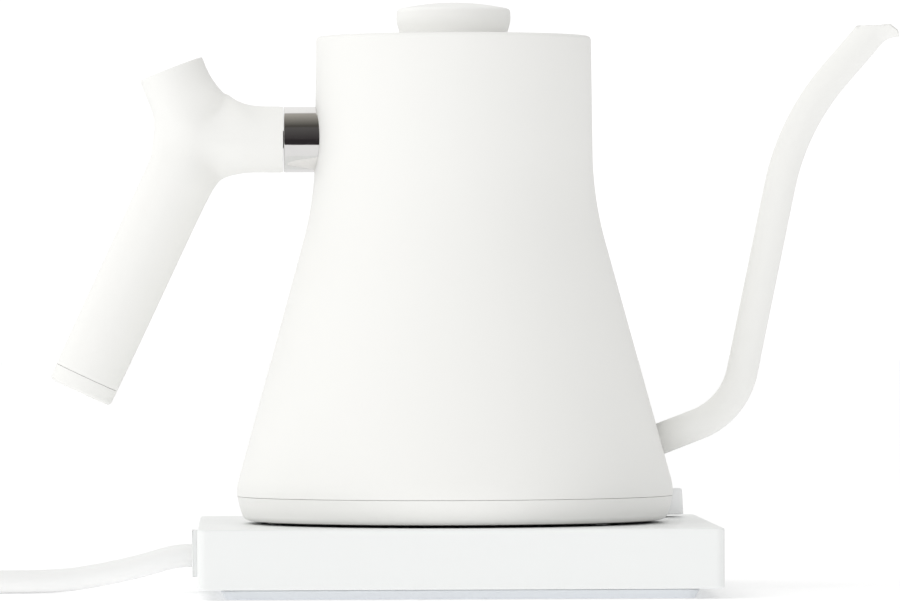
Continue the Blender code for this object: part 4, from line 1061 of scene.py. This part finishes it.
black_nylon = coated("black_nylon", (0.012, 0.012, 0.013), (0.02, 0.02, 0.021), 0.44,
                     0.0005, 0.4, 0.00002)
foot_silicone = coated("foot_silicone", (0.60, 0.60, 0.59), (0.55, 0.55, 0.545), 0.62,
                       0.0004, 0.2, 0.00001)
white_nylon = coated("white_inner_nylon", (0.80, 0.80, 0.78), (0.77, 0.77, 0.75), 0.45,
                     0.0005, 0.4, 0.000012)
turned_steel = metal("turned_steel", (0.62, 0.615, 0.61), (0.55, 0.545, 0.54), 0.32,
                     (2600.0, 2600.0, 200.0), 0.000004, anisotropic=0.4)
dress(black_nylon, "underside_plate", "base_socket", "lid_body")
dress(foot_silicone, "kettle_foot_1", "kettle_foot_2", "kettle_foot_3", "lid_gasket")
dress(white_nylon, "kettle_connector")
dress(turned_steel, *[f"underside_screw_{number}" for number in (1, 2, 3)], "lid_screw",
      *[f"base_screw_{number}" for number in (1, 2, 3, 4)])
contact_brass = metal("contact_brass", (0.80, 0.62, 0.32), (0.72, 0.55, 0.28), 0.28,
                      (2200.0, 2200.0, 120.0), 0.000003)
dress(contact_brass, "kettle_contact_pin", "kettle_contact_ring", "base_contact_inner",
      "base_contact_outer")

# ---- Inside the kettle
# The steel floor, the aluminium spreader and sheathed element clamped under it, the
# temperature probe that stands through both, the dry-boil cut-out and the handle's stud.
heater_steel = metal("heater_steel", (0.60, 0.595, 0.585), (0.54, 0.535, 0.525), 0.3,
                     (1400.0, 1400.0, 1400.0), 0.000006)
cast_aluminium = metal("cast_aluminium", (0.74, 0.745, 0.75), (0.66, 0.665, 0.67), 0.42,
                       (1800.0, 1800.0, 1800.0), 0.00001)
dress(heater_steel, "heater_plate", "heating_element", "temperature_probe", "handle_stud")
dress(cast_aluminium, "heat_spreader", "encoder_shaft")
dress(white_nylon, "dry_boil_cutout")

# ---- Inside the base
# The screwed-in tray, and on it the circuit board with its relay and terminal block, the
# encoder under the knob, the display behind its dark window, the leads and their clamp.
dress(base_abs, "base_tray")
dress(white_nylon, "cord_clamp", "terminal_block")
dress(black_nylon, "power_relay", "display_module")
dress(heater_steel, "rotary_encoder")
lead_colours = {"live_lead": (0.28, 0.12, 0.05), "neutral_lead": (0.04, 0.12, 0.42),
                "earth_lead": (0.16, 0.36, 0.06)}
for lead, colour in lead_colours.items():
    darker = tuple(value * 0.85 for value in colour)
    dress(coated(f"{lead}_pvc", colour, darker, 0.4, 0.0006, 0.5, 0.00001), lead)
window_glass = coated("smoked_window", (0.010, 0.010, 0.012), (0.014, 0.014, 0.016), 0.09,
                      0.002, 0.8, 0.000002, coat=0.5, coat_rough=0.03)
dress(window_glass, "display_window")

board_mask = bpy.data.materials.new("circuit_board_mask")
board_mask.use_nodes = True
board_tree = board_mask.node_tree
board_shader = board_tree.nodes["Principled BSDF"]
board_shader.inputs["Coat Weight"].default_value = 0.4
board_where = add_node(board_tree, "ShaderNodeTexCoord")
board_tracks = add_node(board_tree, "ShaderNodeTexBrick")
board_tracks.inputs["Scale"].default_value = 160.0
board_tracks.inputs["Mortar Size"].default_value = 0.06
board_tracks.inputs["Color1"].default_value = (0.015, 0.14, 0.05, 1.0)
board_tracks.inputs["Color2"].default_value = (0.02, 0.18, 0.07, 1.0)
board_tracks.inputs["Mortar"].default_value = (0.05, 0.28, 0.12, 1.0)
board_tree.links.new(board_where.outputs["Object"], board_tracks.inputs["Vector"])
board_tree.links.new(board_tracks.outputs["Color"], board_shader.inputs["Base Color"])
board_gloss = add_node(board_tree, "ShaderNodeMapRange")
board_gloss.inputs["To Min"].default_value = 0.38
board_gloss.inputs["To Max"].default_value = 0.55
board_tree.links.new(board_tracks.outputs["Fac"], board_gloss.inputs["Value"])
board_tree.links.new(board_gloss.outputs["Result"], board_shader.inputs["Roughness"])
dress(board_mask, "circuit_board")
